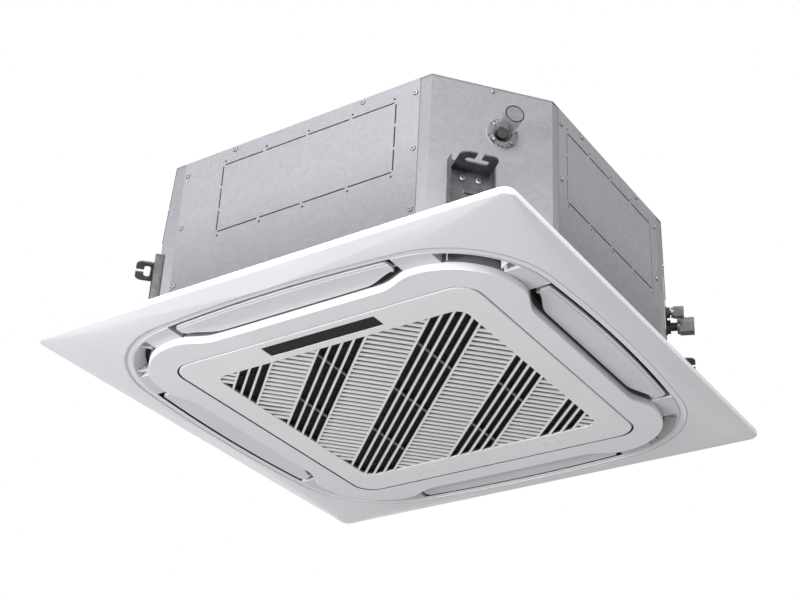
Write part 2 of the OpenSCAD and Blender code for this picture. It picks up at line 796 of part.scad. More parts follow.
module drain_pan() color(foam_c) difference() {
    slab(casing_bottom, pan_top) casing2d(2 * sheet + pan_wall);
    slab(casing_bottom - over, pan_top + over) duct2d(pan_inset);
    slab(trough_z, pan_top + over) {
        coil2d(trough_room, end_plate_t + bend_r + bend_tube_r + trough_room);
        sump2d();
    }
    slab(casing_bottom - over, recess_top) rounded(recess_half, trough_room);
    slab(recess_top - over, pan_top + over) circle(r = pan_bore_r);
    for (x = [-panel_screw_x, panel_screw_x]) for (y = [-panel_screw_y, panel_screw_y])
        translate([x, y, casing_bottom - over]) cylinder(r = screw_pocket_r, h = panel_screw_up + over);
    slab(casing_bottom - over, casing_bottom + sheet + gap) tabs2d(gap);
    for (i = FACES) face_holes(i);
}

// The pan's sump under the drain pump and its float switch
sump_s0 = 45;
sump_s1 = 160;
sump_d0 = 14;
sump_d1 = 62;
module sump2d() {
    translate(edge_start(DRAIN)) rotate(edge_turn(DRAIN)) translate([sump_s0, sump_d0])
        square([sump_s1 - sump_s0, sump_d1 - sump_d0]);
}

module coil_fins() color([0.78, 0.79, 0.8]) slab(coil_z0, coil_z1) coil2d(0, 0);

module coil_end_plates() color(steel_c) {
    for (q = [0, 1]) mirror([q, -q, 0]) translate([coil_half - coil_t - end_plate_t, coil_end, coil_z0])
        cube([coil_t + 2 * end_plate_t, end_plate_t, coil_z1 - coil_z0]);
}

module coil_bends() color(copper_c) for (k = [0:bend_count - 1])
    translate([coil_end + end_plate_t, coil_half - coil_t / 2,
        coil_z0 + (k + 1 / 2) * (coil_z1 - coil_z0) / bend_count])
        rotate([90, 0, 0]) rotate([0, 0, -90]) rotate_extrude(angle = 180) translate([bend_r, 0])
            circle(r = bend_tube_r);

// Bell mouth, fan and motor
bell_plate_t = 2.5;
bell_flare_r = 46;
bell_z = recess_top - bell_plate_t;
bell_top = bell_z + bell_flare_r;
shroud_lap = 6; // the shroud hangs this far down round the bell mouth
shroud_gap = 8; // from the bell mouth's throat to the shroud
fan_z0 = bell_top - shroud_lap;
shroud_r = throat_r + shroud_gap;
shroud_h = 38;
fan_r = fan_d / 2;
fan_t = 2.5;
hub_z = fan_z0 + shroud_h + fan_h;
hub_boss_r = 20;
hub_boss_l = 26;
shaft_r = 6;
hub_dish = 42; // depth of the hub's dish round the motor
hub_boss_z = hub_z - hub_dish;
hub_cone_r = 92;
hub_slope = 10; // how much the dish widens over its depth
blade_t = 4;
blade_in_r = 132;
blade_arc_r = 150;
motor_r = 76;
motor_h = 68;
motor_z1 = 291;
motor_z0 = motor_z1 - motor_h;
motor_foot_count = 3;
motor_foot_pcd = 190;
motor_foot_r = 11;
motor_stud_r = 3;
motor_lug_t = 4;
nut_r = 10;
nut_h = 9;
shaft_in = 20; // how far the shaft goes into the motor
blade_clear = 6; // from the bell mouth's top to the blades

// Bell mouth: a square plate whose middle curls up into a round throat
module bell_mouth() color([0.9, 0.9, 0.88]) {
    difference() {
        slab(bell_z, bell_z + bell_plate_t) rounded(bell_plate_half, trough_room);
        translate([0, 0, bell_z - over]) cylinder(r = throat_r + bell_flare_r, h = bell_plate_t + 2 * over);
    }
    rotate_extrude() polygon(concat(
        arc([throat_r + bell_flare_r, bell_top], bell_flare_r, 270, 180, bend_steps),
        arc([throat_r + bell_flare_r, bell_top], bell_flare_r - bell_plate_t, 180, 270, bend_steps)));
}

// Turbo fan: a hub plate dished round the motor, backward-curved blades and an inlet shroud
module fan_hub() {
    rotate_extrude() polygon([
        [shaft_r, hub_boss_z - hub_boss_l / 2], [hub_boss_r, hub_boss_z - hub_boss_l / 2],
        [hub_boss_r, hub_boss_z], [hub_cone_r, hub_boss_z + fan_t],
        [hub_cone_r + hub_slope, hub_z], [fan_r, hub_z], [fan_r, hub_z + fan_t],
        [hub_cone_r + hub_slope - fan_t, hub_z + fan_t], [hub_cone_r - fan_t, hub_boss_z + 2 * fan_t],
        [hub_boss_r, hub_boss_z + fan_t], [hub_boss_r, hub_boss_z + hub_boss_l / 4],
        [shaft_r, hub_boss_z + hub_boss_l / 4]]);
}

function shroud_curve(grow) = [for (i = [0:bend_steps]) let(a = 90 * i / bend_steps)
    [shroud_r + grow + (fan_r - shroud_r - grow) * (1 - cos(a)), fan_z0 + (shroud_h - grow) * sin(a)]];
function backwards(list) = [for (i = [len(list) - 1:-1:0]) list[i]];

module fan_shroud() {
    rotate_extrude() polygon(concat(shroud_curve(0), backwards(shroud_curve(fan_t))));
}

module blade2d() {
    intersection() {
        difference() {
            translate([blade_arc_r / 2, blade_in_r]) difference() {
                circle(r = blade_arc_r);
                circle(r = blade_arc_r - blade_t);
            }
            circle(r = blade_in_r);
        }
        circle(r = fan_r - fan_t);
        translate([0, -fan_r]) square([fan_r, 2 * fan_r]);
    }
}

module turbo_fan() color([0.3, 0.31, 0.32]) {
    fan_hub();
    fan_shroud();
    difference() {
        for (k = [0:blade_count - 1]) rotate([0, 0, k * 360 / blade_count])
            slab(bell_top + blade_clear, hub_z + fan_t / 2) blade2d();
        rotate_extrude() polygon(concat(
            [[shroud_r + fan_t / 2, fan_z0 - over]], shroud_curve(fan_t / 2),
            [[fan_r + over, fan_z0 + shroud_h - fan_t / 2], [fan_r + over, fan_z0 - over]]));
    }
}

// The motor's shaft with the nut that holds the fan on it
module fan_shaft() color(nut_c) {
    nut_z = hub_boss_z - hub_boss_l / 2 - nut_h;
    translate([0, 0, nut_z]) cylinder(r = nut_r, h = nut_h, $fn = 6);
    translate([0, 0, nut_z - over]) cylinder(r = shaft_r - run_fit, h = motor_z0 + shaft_in - nut_z);
}

module fan_motor() color([0.55, 0.56, 0.57]) {
    difference() {
        union() {
            translate([0, 0, motor_z0]) cylinder(r = motor_r, h = motor_h);
            translate([0, 0, motor_z0 - motor_lug_t]) cylinder(r = hub_boss_r, h = motor_lug_t);
        }
        translate([0, 0, motor_z0 - motor_lug_t - over])
            cylinder(r = shaft_r, h = shaft_in + motor_lug_t + 2 * over);
    }
    difference() {
        for (k = [0:motor_foot_count - 1]) rotate([0, 0, k * 360 / motor_foot_count])
            slab(motor_z1 - motor_lug_t, motor_z1) {
                translate([0, -motor_foot_r]) square([motor_foot_pcd / 2, 2 * motor_foot_r]);
                translate([motor_foot_pcd / 2, 0]) circle(r = motor_foot_r);
            }
        for (k = [0:motor_foot_count - 1]) rotate([0, 0, k * 360 / motor_foot_count])
            translate([motor_foot_pcd / 2, 0, motor_z1 - motor_lug_t - over])
                cylinder(r = motor_stud_r + gap, h = motor_lug_t + 2 * over);
    }
}

// Rubber feet between the motor's lugs and the casing's top
module motor_feet() color(dark_c) for (k = [0:motor_foot_count - 1])
    rotate([0, 0, k * 360 / motor_foot_count]) translate([motor_foot_pcd / 2, 0, 0]) {
        translate([0, 0, motor_z1]) cylinder(r = motor_foot_r, h = deck_z - motor_z1);
        translate([0, 0, motor_z1 - 3 * motor_lug_t]) cylinder(r = motor_stud_r, h = 3 * motor_lug_t);
        translate([0, 0, motor_z1 - 3 * motor_lug_t]) cylinder(r = motor_foot_r * 2 / 3, h = 2 * motor_lug_t);
        translate([0, 0, deck_z]) cylinder(r = motor_stud_r, h = sheet + rib_h);
    }

// Drain pump, hose and float switch in the drain corner
pump_d = 36; // from the chamfer's plate in to the pump's axis
pump_r = 22;
pump_z0 = 110;
pump_z1 = 172;
pump_tube_r = 10;
pump_foot_z = 44;
pump_neck_r = 9;
pump_plate_t = 3;
pump_plate_w = 62;
impeller_r = 7;
impeller_h = 10;
impeller_room = 0.5; // clearance round the impeller's vanes
impeller_lift = 1;
impeller_hub_r = 5;
impeller_vane_t = 1;
hose_r = 11;
hose_bend = pump_d - drain_in;
hose_wall = 3;
float_s = -44; // along the chamfer from the pump to the float
float_stem_r = 3;
float_r = 11;
float_h = 14;
float_z = 46;
stem_foot = 3;

module at_pump(s, z) {
    on_edge(DRAIN) translate([drain_s + s, -pump_d, z]) children();
}

module drain_pump() color([0.85, 0.85, 0.83]) at_pump(0, 0) difference() {
    union() {
        translate([0, 0, pump_z0]) cylinder(r = pump_r, h = pump_z1 - pump_z0);
        translate([0, 0, pump_foot_z]) cylinder(r = pump_tube_r, h = pump_z0 - pump_foot_z);
        translate([-pump_plate_w, -pump_tube_r, pump_z1])
            cube([pump_plate_w + pump_r, pump_d + pump_tube_r - 2 * sheet - gap, pump_plate_t]);
        translate([0, 0, pump_z1]) cylinder(r = pump_neck_r, h = drain_z - hose_bend - pump_z1);
    }
    translate([0, 0, pump_foot_z - over])
        cylinder(r = impeller_r + impeller_room, h = impeller_h + stem_foot + over);
    translate([0, 0, pump_foot_z]) cylinder(r = float_stem_r / 2 + run_fit, h = pump_z0 - pump_foot_z);
    translate([float_s, 0, pump_z1 - over]) cylinder(r = float_stem_r - run_fit, h = pump_plate_t + 2 * over);
}

module pump_impeller() color(dark_c) at_pump(0, 0) {
    translate([0, 0, pump_foot_z + impeller_lift]) {
        cylinder(r = impeller_hub_r, h = stem_foot);
        cylinder(r = float_stem_r / 2, h = pump_z0 - pump_foot_z - 2 * impeller_lift);
        for (k = [0:3]) rotate([0, 0, 90 * k]) translate([0, -impeller_vane_t / 2, 0])
            cube([impeller_r - impeller_room, impeller_vane_t, impeller_h]);
    }
}

// Elbow from the pump's neck to the spigot's stub
module pump_hose() color(dark_c) at_pump(0, drain_z) translate([0, hose_bend, -hose_bend])
    rotate([90, 0, -90]) rotate_extrude(angle = 90) translate([hose_bend, 0]) difference() {
        circle(r = hose_r);
        circle(r = hose_r - hose_wall);
    }

module float_stem() color([0.9, 0.9, 0.9]) at_pump(float_s, 0) {
    translate([0, 0, float_z]) cylinder(r = float_stem_r - run_fit * 2, h = pump_z1 + pump_plate_t - float_z);
    translate([0, 0, float_z - stem_foot]) cylinder(r = float_stem_r * 2, h = stem_foot);
}

module float_ring() color([0.92, 0.92, 0.9]) at_pump(float_s, 0) difference() {
    translate([0, 0, float_z + gap]) cylinder(r = float_r, h = float_h);
    translate([0, 0, float_z]) cylinder(r = float_stem_r + run_fit, h = float_h + 2 * over);
}

// Control box beside the bell mouth, behind the grille
box_w = 300;
box_gap = 6; // from the recess's edge to the control box
box_y0 = box_gap - recess_half;
box_d = 72;
box_z0 = -2;
box_h = bell_z - gap - box_z0;
box_wall = 1;
cover_t = 1;

module control_box() color(steel_c) translate([-box_w / 2, box_y0, box_z0 + cover_t]) difference() {
    cube([box_w, box_d, box_h - cover_t]);
    translate([box_wall, box_wall, -over])
        cube([box_w - 2 * box_wall, box_d - 2 * box_wall, box_h - cover_t - box_wall + over]);
}

module control_cover() color(steel_c) translate([-box_w / 2, box_y0, box_z0]) {
    cube([box_w, box_d, cover_t]);
}

// Panel frame: the outer panel, its back plate and the walls of the air outlets
ring_step = 1; // the band inside the ring's outline is this much higher
ring_lip = 1.5;
plate_z = skin; // top of the back plate
back_z = -gap; // its underside, so that the panel meets the ceiling with its outer lip alone
stiffener_t = 2;
stiffener_top = 2;
stiffener_count = 4;
cover_flat = 66; // length of a corner cover's flat plate, beside the outlet
slot_from = outlet_len / 2 + cover_flat; // the corner outlets start here, along X and Y
slot_lip = 3;
slot_run = 18; // how far the corner ramp comes in as it rises
slot_wall = 2.5;
step_motor_r = 9.5;
step_motor_l = 12;
step_motor_x = 3.2; // the motor's body lies off its shaft
step_motor_z = 3.5;
seal_inset = 2;

pivot_z = ring_z + louvre_rise;

module panel_square(inset) {
    polygon(round_rect(panel_w - 2 * inset, panel_w - 2 * inset, panel_r - min(inset, panel_r / 2)));
}

// The panel's outer form, blended from the square lip down to the ring
module panel_form(inset, lift, top) {
    hull() {
        slab(lip_z + lip_edge + lift, top) panel_square(inset);
        for (a = [30, 60, 90]) slab(lip_z + lip_edge * (1 - sin(a)) + lift, lip_z + lip_edge + lift)
            panel_square(inset + lip_edge * (1 - cos(a)));
        slab(ring_z + lift, ring_z + lift + layer) ring2d(0);
    }
}

module stiffeners() {
    for (i = [0:3]) rotate([0, 0, 90 * i]) for (k = [0:stiffener_count - 1])
        translate([(k + 1 / 2 - stiffener_count / 2) * panel_w / (stiffener_count + 1) - stiffener_t / 2,
            -panel_w / 2 + lip_seat / 2, ring_z]) cube([stiffener_t, panel_w / 4, -ring_z - stiffener_top]);
}

// Plan of the corner outlets beyond the corner covers' flat plates
module corner_slot2d(inset) {
    for (i = [0:3]) rotate(90 * i) translate([slot_from + inset, -panel_w / 2])
        square([panel_w / 2 - slot_from, panel_w / 2 - slot_from - inset]);
}

module step_motor_sites() {
    for (i = [0:3]) rotate([0, 0, 90 * i])
        translate([outlet_len / 2 + skin + gap, -louvre_pivot - step_motor_x, pivot_z + step_motor_z])
            rotate([0, 90, 0]) children();
}

module step_motor_room2d() {
    for (i = [0:3]) rotate(90 * i)
        translate([outlet_len / 2 + skin - gap, -louvre_pivot - step_motor_x - step_motor_r - gap])
            square([step_motor_l + 3 * gap, 2 * (step_motor_r + gap)]);
}

module slot_ramp_centre(i) {
    rotate([0, 0, 90 * i]) translate([ring_corner, -ring_corner, 0]) children();
}

ramp_r = ring_r - ring_band - slot_lip;

module panel_frame() color(panel_c) difference() {
    union() {
        difference() {
            panel_form(0, 0, 0);
            difference() {
                panel_form(lip_seat, skin, over);
                stiffeners();
            }
            slab(ring_z - over, over) ring2d(ring_band);
            slab(ring_z - over, ring_z + ring_step) ring2d(ring_lip);
        }
        slab(ring_z + ring_step, plate_z) difference() {
            ring2d(ring_band - skin);
            ring2d(ring_band);
        }
        slab(back_z, plate_z) difference() {
            ring2d(ring_band - skin / 2);
            duct2d(0);
            rounded(intake_half, field_r);
            step_motor_room2d();
        }
    }
    for (i = [0:3]) slot_ramp_centre(i) translate([0, 0, back_z - over]) intersection() {
        cylinder(r = ramp_r - slot_run, h = plate_z - back_z + 2 * over);
        translate([slot_from - ring_corner, -panel_w / 2, 0])
            cube([panel_w / 2, panel_w / 2 - slot_from + ring_corner, plate_z - back_z + 2 * over]);
        rotate([0, 0, -90 * i]) slab(0, skin + 3 * over) rotate(90 * i) translate([-ring_corner, ring_corner])
            difference() {
                square(panel_w * 2, center = true);
                frame2d(0);
            }
    }
    panel_screw_holes(-over);
}

module panel_seal() color(dark_c) difference() {
    slab(plate_z, casing_bottom) difference() {
        ring2d(ring_band - skin / 2);
        duct2d(seal_inset);
        rounded(intake_half, field_r);
        step_motor_room2d();
    }
    panel_screw_holes(plate_z);
}

module panel_screws() color(nut_c)
    for (x = [-panel_screw_x, panel_screw_x]) for (y = [-panel_screw_y, panel_screw_y]) translate([x, y, back_z]) {
        translate([0, 0, -panel_screw_head_h]) cylinder(r = panel_screw_head_r, h = panel_screw_head_h);
        cylinder(r = panel_screw_r, h = panel_screw_up - over);
    }

// Intake frame: the proud square round the grille, open at the back
ledge_w = 8;
ledge_t = 2.5;
ledge_clear = 34; // the ledge stays this far from the hinge edge
frame_edge = 1; // chamfer round the opening's lower edge
door_top = face_z + door_t;
door_open_half = door_w / 2 + door_gap;
hinge_y = hinge_inset - door_w / 2;
hinge_z = face_z + hinge_up;
// Here the hinge line meets the door's rounded corners
hinge_x = door_w / 2 - door_r + sqrt(pow(door_r, 2) - pow(door_r - hinge_inset, 2));
hinge_eye = 1.5; // wall round a hinge pin
pin_tip = 1; // how far a pin stands out of the intake frame's wall
pin_in = 10; // length of a pin inside the door
pin_out = door_gap + skin + pin_tip;

module intake_frame() color(panel_c) {
    difference() {
        slab(face_z, back_z) frame2d(0);
        slab(face_z + skin, over) difference() {
            frame2d(skin);
            rounded(door_open_half + skin, door_r + skin);
        }
        slab(face_z - over, -skin) rounded(door_open_half, door_r);
        hull() {
            slab(face_z - layer, face_z) rounded(door_open_half + frame_edge, door_r + frame_edge);
            slab(face_z + frame_edge, face_z + frame_edge + layer) rounded(door_open_half, door_r);
        }
        slab(-skin - over, over) rounded(intake_half, field_r);
        hinge_rods(hinge_pin_r + run_fit, over);
    }
    slab(door_top + gap, door_top + gap + ledge_t) difference() {
        polygon(round_rect(2 * door_open_half + skin, 2 * door_open_half + skin, door_r));
        polygon(round_rect(2 * (door_open_half - ledge_w), 2 * (door_open_half - ledge_w), door_r - ledge_w));
        translate([-panel_w / 2, -panel_w / 2]) square([panel_w, panel_w / 2 - door_open_half + ledge_clear]);
    }
}

// Two rods on the hinge line, out of the door's side walls and through the intake frame's
module hinge_rods(r, grow) {
    for (q = [0, 1]) mirror([q, 0, 0]) translate([hinge_x - pin_in - grow, hinge_y, hinge_z])
        rotate([0, 90, 0]) cylinder(r = r, h = pin_in + pin_out + 2 * grow);
}

// Corner covers: flat plates, the louvres' bearings and a ramped corner outlet
module corner_cover2d() {
    difference() {
        intersection() {
            ring2d(ring_band + gap);
            translate([outlet_len / 2, -panel_w / 2]) square(panel_w / 2 - outlet_len / 2);
        }
        frame2d(-gap);
    }
}

module corner_zone2d(from) {
    translate([from, -panel_w / 2]) square(panel_w / 2 - from);
}

vane_in = 9; // a guide vane starts this far in from the outlet's end and under the intake frame
vane_run = 18;
vane_out = 28;
vane_from = [slot_from + vane_in, vane_in - bulge_half];
vane_to = vane_from + [vane_run, -vane_out];
vane_t = 2;

module ramp_shell() {
    translate([ring_corner, -ring_corner, 0]) difference() {
        translate([0, 0, ring_z])
            cylinder(r1 = ramp_r + slot_wall, r2 = ramp_r - slot_run + slot_wall, h = -ring_z - gap);
        translate([0, 0, ring_z]) cylinder(r1 = ramp_r, r2 = ramp_r - slot_run, h = -ring_z - gap);
    }
}

module guide_vane(a, b) {
    translate([a[0], a[1], ring_z + ring_step]) rotate([0, 0, atan2(b[1] - a[1], b[0] - a[0])])
        translate([0, -vane_t / 2, 0]) cube([norm(b - a), vane_t, -ring_z - ring_step - gap]);
}

module corner_cover(i) color(panel_c) rotate([0, 0, 90 * i]) difference() {
    union() {
        slab(ring_z, ring_z + slot_wall) difference() {
            corner_cover2d();
            intersection() {
                corner_zone2d(slot_from);
                translate([ring_corner, -ring_corner]) circle(r = ramp_r);
            }
        }
        intersection() {
            slab(ring_z, -gap) corner_cover2d();
            union() {
                slab(ring_z, -gap) difference() {
                    corner_zone2d(slot_from - slot_wall);
                    corner_zone2d(slot_from);
                }
                slab(ring_z, -gap) difference() {
                    corner_zone2d(outlet_len / 2);
                    corner_zone2d(outlet_len / 2 + skin);
                }
                intersection() {
                    slab(ring_z, -gap) corner_zone2d(slot_from - slot_wall);
                    union() {
                        ramp_shell();
                        guide_vane(vane_from, vane_to);
                        guide_vane([-vane_from[1], -vane_from[0]], [-vane_to[1], -vane_to[0]]);
                    }
                }
            }
        }
    }
    for (q = [0, 1]) mirror([q, q, 0]) translate([outlet_len / 2 - over, -louvre_pivot, pivot_z])
        rotate([0, 90, 0]) cylinder(r = louvre_pin_r + run_fit, h = skin + 2 * over);
}

module cover_drain() corner_cover(0);
module cover_pipe() corner_cover(1);
module cover_back() corner_cover(2);
module cover_left() corner_cover(3);

// Louvre: a shallow tray with an eased inner edge, arms and pivot pins at its ends
rim_t = 2.2;
rim_h = 5.5;
louvre_step = 0.6;
louvre_step_w = 6;
louvre_end_r = 8;
arm_t = 3;
arm_in = 5; // from a louvre's end to its arm
arm_w = 10;

function louvre_inner(i) = [
    louvre_flat + (louvre_len / 2 - louvre_flat) * i / ease_steps,
    -(waist_half + louvre_gap + louvre_taper * ease(i / ease_steps))];

module louvre2d() {
    offset(r = louvre_end_r) offset(delta = -louvre_end_r) intersection() {
        ring2d(ring_band + louvre_gap);
        polygon(concat(
            [for (i = [ease_steps:-1:0]) let(p = louvre_inner(i)) [-p[0], p[1]]],
            [for (i = [0:ease_steps]) louvre_inner(i)],
            [[louvre_len / 2, -panel_w / 2], [-louvre_len / 2, -panel_w / 2]]));
    }
}

module louvre(i) color(panel_c) rotate([0, 0, 90 * i]) {
    difference() {
        slab(ring_z, ring_z + rim_h) louvre2d();
        slab(ring_z + louvre_t, ring_z + rim_h + over) offset(delta = -rim_t) louvre2d();
        slab(ring_z - over, ring_z + louvre_step) difference() {
            strip(panel_w / 2);
            ring2d(ring_band + louvre_gap + louvre_step_w);
        }
    }
    for (q = [0, 1]) mirror([q, 0, 0]) translate([louvre_len / 2 - arm_in - arm_t, 0, 0]) {
        translate([0, -louvre_pivot - arm_w / 2, ring_z + louvre_t / 2])
            cube([arm_t, arm_w, louvre_rise - louvre_t / 2]);
        translate([0, -louvre_pivot, pivot_z]) rotate([0, 90, 0]) {
            cylinder(r = arm_w / 2, h = arm_t);
            cylinder(r = louvre_pin_r, h = arm_t + arm_in + (outlet_len - louvre_len) / 2 + skin);
        }
    }
}

module louvre_front() louvre(0);
module louvre_right() louvre(1);
module louvre_rear() louvre(2);
module louvre_left() louvre(3);

module louvre_motors() color([0.8, 0.8, 0.8]) step_motor_sites() cylinder(r = step_motor_r, h = step_motor_l);

// Grille door: a tray with a diagonal field of bars, slats and cross ribs
door_skin = 2.5;
door_edge = 2; // chamfer round the door's lower edge
bar_recess = 0.3; // the bars lie this far inside the door's face
bar_top = 7.8;
slat_lift = 0.6;
slat_rise = 5.2; // a slat's back wall rises this far
slat_lean = 0.5; // and leans out this far as it rises
hair = 0.02; // width of the lines that the bars and slats are grown from
rib_bar_w = 5;
rib_bar_z = 3.5;
rib_bar_top = 7.6;
rib_step = 127; // cross ribs' spacing along X
lens_recess = 0.5;
display_in = 16; // from the door's edge to the display strip
display_y = display_in - door_w / 2;
latch_x = 141;
latch_in = 31; // from the door's edge to a latch's middle
latch_y = door_w / 2 - latch_in;
latch_w = 32;
latch_d = 22;
latch_gap = 0.4;
latch_t = 2.4;
latch_travel = 4;
stem_w = 12;
stem_d = 8;
stem_h = 17;
guide_t = 1.6;
guide_room = guide_t + latch_gap;

// Bands of open bars and bands of slats across the diagonal, counted in bar pitches
open_band_shares = [[-18.5, -15.5], [-11.5, -7.5], [-2.5, 2.5], [7.5, 11.5], [15.5, 18.5]];
slat_band_shares = [[-22.5, -18.5], [-15.5, -11.5], [-7.5, -2.5], [2.5, 7.5], [11.5, 15.5], [18.5, 22.5]];
// Cross ribs of a band, in rib steps from the band's middle
rib_shares = [[], [-0.5, 0.5], [-1, 0, 1], [-0.5, 0.5], []];

field_reach = field_w * cos(bar_turn) + field_d * sin(bar_turn);

// The field is drawn in its own frame, with X along the bars, and turned into the door last
module field2d() {
    polygon(round_rect(field_w, field_d, field_r));
}

module turned_field2d(grow) {
    offset(delta = grow) rotate(bar_turn) field2d();
}

// Bars drawn as lines and grown to their width in one pass
module bars2d() {
    offset(delta = (bar_w - hair) / 2) intersection() {
        turned_field2d(over);
        for (band = open_band_shares) for (k = [band[0]:band[1]])
            translate([-field_reach / 2, k * bar_pitch - hair / 2]) square([field_reach, hair]);
    }
}

// Cross ribs of the open bands, which run along the door's Y
module ribs2d() {
    offset(delta = (rib_bar_w - hair) / 2) intersection() {
        turned_field2d(0);
        for (b = [0:len(open_band_shares) - 1]) let(band = open_band_shares[b] * bar_pitch)
            for (k = rib_shares[b]) intersection() {
                translate([-field_reach / 2, band[0]]) square([field_reach, band[1] - band[0]]);
                rotate(bar_turn)
                    translate([(band[0] + band[1]) / 2 * sin(bar_turn) + k * rib_step, -field_d / 2])
                    square([hair, field_d]);
            }
    }
}

// One band of slats: each is a flat strip with a wall along one edge, drawn as a line and grown
module slat_band(band) {
    reach = (field_reach - abs(band[0] + band[1]) * bar_pitch) / 2 + slat_pitch;
    count = ceil(reach / slat_pitch);
    l = slat_w - slat_t;
    translate([0, band[1] * bar_pitch, 0]) rotate([90, 0, 0])
        linear_extrude(height = (band[1] - band[0]) * bar_pitch) offset(delta = (slat_t - hair) / 2)
            for (k = [-count:count]) translate([k * slat_pitch, face_z + slat_lift + slat_t / 2])
                polygon([[0, 0], [l, 0], [l + slat_lean, slat_rise], [l + slat_lean - hair, slat_rise],
                    [l - hair, hair], [0, hair]]);
}

module grille_field() rotate([0, 0, -bar_turn]) {
    slab(face_z + bar_recess, face_z + bar_top) bars2d();
    slab(face_z + rib_bar_z, face_z + rib_bar_top) ribs2d();
    intersection() {
        slab(face_z, face_z + door_t) turned_field2d(over);
        union() for (band = slat_band_shares) slat_band(band);
    }
}

// The door's lower edge is chamfered, so that it clears the intake frame as it swings
module door_lower_edge() {
    hull() {
        slab(face_z, face_z + layer)
            polygon(round_rect(door_w - 2 * door_edge, door_w - 2 * door_edge, door_r - door_edge));
        slab(face_z + door_edge, face_z + door_edge + layer) rounded(door_w / 2, door_r);
    }
}

module door_tray() {
    difference() {
        union() {
            slab(face_z + door_edge, face_z + door_t) rounded(door_w / 2, door_r);
            door_lower_edge();
        }
        slab(face_z + door_skin, face_z + door_t + over) difference() {
            polygon(round_rect(door_w - 2 * door_skin, door_w - 2 * door_skin, door_r - door_skin));
            offset(delta = door_skin) field2d();
            for (x = [-latch_x, latch_x]) translate([x, latch_y])
                square([latch_w + 2 * guide_room, latch_d + 2 * guide_room], center = true);
        }
        slab(face_z - over, face_z + door_t + over) field2d();
        slab(face_z - over, face_z + door_t + over)
            translate([-display_w / 2, display_y]) square([display_w, display_d]);
        for (x = [-latch_x, latch_x]) translate([x, latch_y]) {
            slab(face_z - over, face_z + latch_t + latch_travel + latch_gap)
                square([latch_w + 2 * latch_gap, latch_d + 2 * latch_gap], center = true);
            slab(face_z - over, face_z + door_t + over)
                square([stem_w + 2 * latch_gap, stem_d + 2 * latch_gap], center = true);
        }
    }
}

// Blocks that hold the hinge pins, inside the door's rounded corners
module hinge_blocks() {
    intersection() {
        slab(face_z + door_edge, hinge_z + hinge_pin_r + hinge_eye) rounded(door_w / 2, door_r);
        for (q = [0, 1]) mirror([q, 0, 0])
            translate([hinge_x - pin_in, hinge_y - hinge_pin_r - hinge_eye, face_z])
                cube([pin_in + pin_out, 2 * (hinge_pin_r + hinge_eye), door_t]);
    }
}

module grille_door() color(grille_c) {
    difference() {
        union() {
            door_tray();
            hinge_blocks();
        }
        hinge_rods(hinge_pin_r + run_fit, over);
    }
    grille_field();
}

module hinge_pins() color(nut_c) hinge_rods(hinge_pin_r, 0);

// Dark display strip with its board behind it
board_t = 1.6;
board_gap = 4;
module display_module() color(dark_c) translate([0, display_y + display_d / 2, 0]) {
    slab(face_z + lens_recess, face_z + door_t - board_gap + board_t)
        square([display_w - 2 * gap, display_d - 2 * gap], center = true);
}

// Filter: a frame that lies on the grille, with a net across it
filter_over = 12; // how far the filter laps over the field's edge
filter_t = 5;
filter_rim = 8;
net_t = 0.8;
net_count = 12;
net_bar = 2;
module filter() color([0.18, 0.18, 0.19]) {
    w = field_w + 2 * filter_over;
    d = field_d + 2 * filter_over;
    z = face_z + door_t + gap;
    slab(z + net_t, z + filter_t) difference() {
        square([w, d], center = true);
        square([w - 2 * filter_rim, d - 2 * filter_rim], center = true);
    }
    slab(z, z + net_t) offset(delta = (net_bar - hair) / 2) {
        for (k = [1:net_count - 1]) {
            translate([k * w / net_count - w / 2, 0]) square([hair, d - filter_rim], center = true);
            translate([0, k * d / net_count - d / 2]) square([w - filter_rim, hair], center = true);
        }
        difference() {
            square([w - net_bar, d - net_bar], center = true);
            square([w - 2 * filter_rim + net_bar, d - 2 * filter_rim + net_bar], center = true);
        }
    }
}

// Push latch: a flush button whose stem slides in the door's guide
module latch(x) color(grille_c) translate([x, latch_y, face_z]) {
    slab(0, latch_t) square([latch_w, latch_d], center = true);
    slab(0, stem_h) square([stem_w, stem_d], center = true);
}

module latch_left() latch(-latch_x);
module latch_right() latch(latch_x);

casing_top_plate();
casing_front();
casing_right();
casing_rear();
casing_left();
corner_drain();
corner_pipe();
corner_back();
corner_left();
casing_screws();
hanger_drain();
hanger_pipe();
hanger_back();
hanger_left();
hanger_screws();
drain_spigot();
drain_gasket();
drain_screws();
pipe_plate();
pipe_seal();
gas_pipe();
liquid_pipe();
gas_nut();
liquid_nut();
insulation();
drain_pan();
coil_fins();
coil_end_plates();
coil_bends();
bell_mouth();
fan_motor();
motor_feet();
turbo_fan();
fan_shaft();
drain_pump();
pump_impeller();
pump_hose();
float_stem();
float_ring();
control_box();
control_cover();
panel_frame();
panel_seal();
panel_screws();
intake_frame();
cover_drain();
cover_pipe();
cover_back();
cover_left();
louvre_motors();
louvre_front();
louvre_right();
louvre_rear();
louvre_left();
grille_door();
hinge_pins();
filter();
display_module();
latch_left();
latch_right();
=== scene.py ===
"""Looks for a ceiling cassette air conditioner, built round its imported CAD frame.

Z = 0 is the ceiling, and the display edge faces -Y. Sizes of the unit's pieces and finishes are
written in millimetres and those of the studio in metres, and every piece is made in metres.
"""

import logging
import math
from collections.abc import Callable, Iterator
from contextlib import contextmanager
from dataclasses import dataclass, field
from enum import Enum

import bmesh
import bpy
import numpy as np
from mathutils import Matrix, Vector


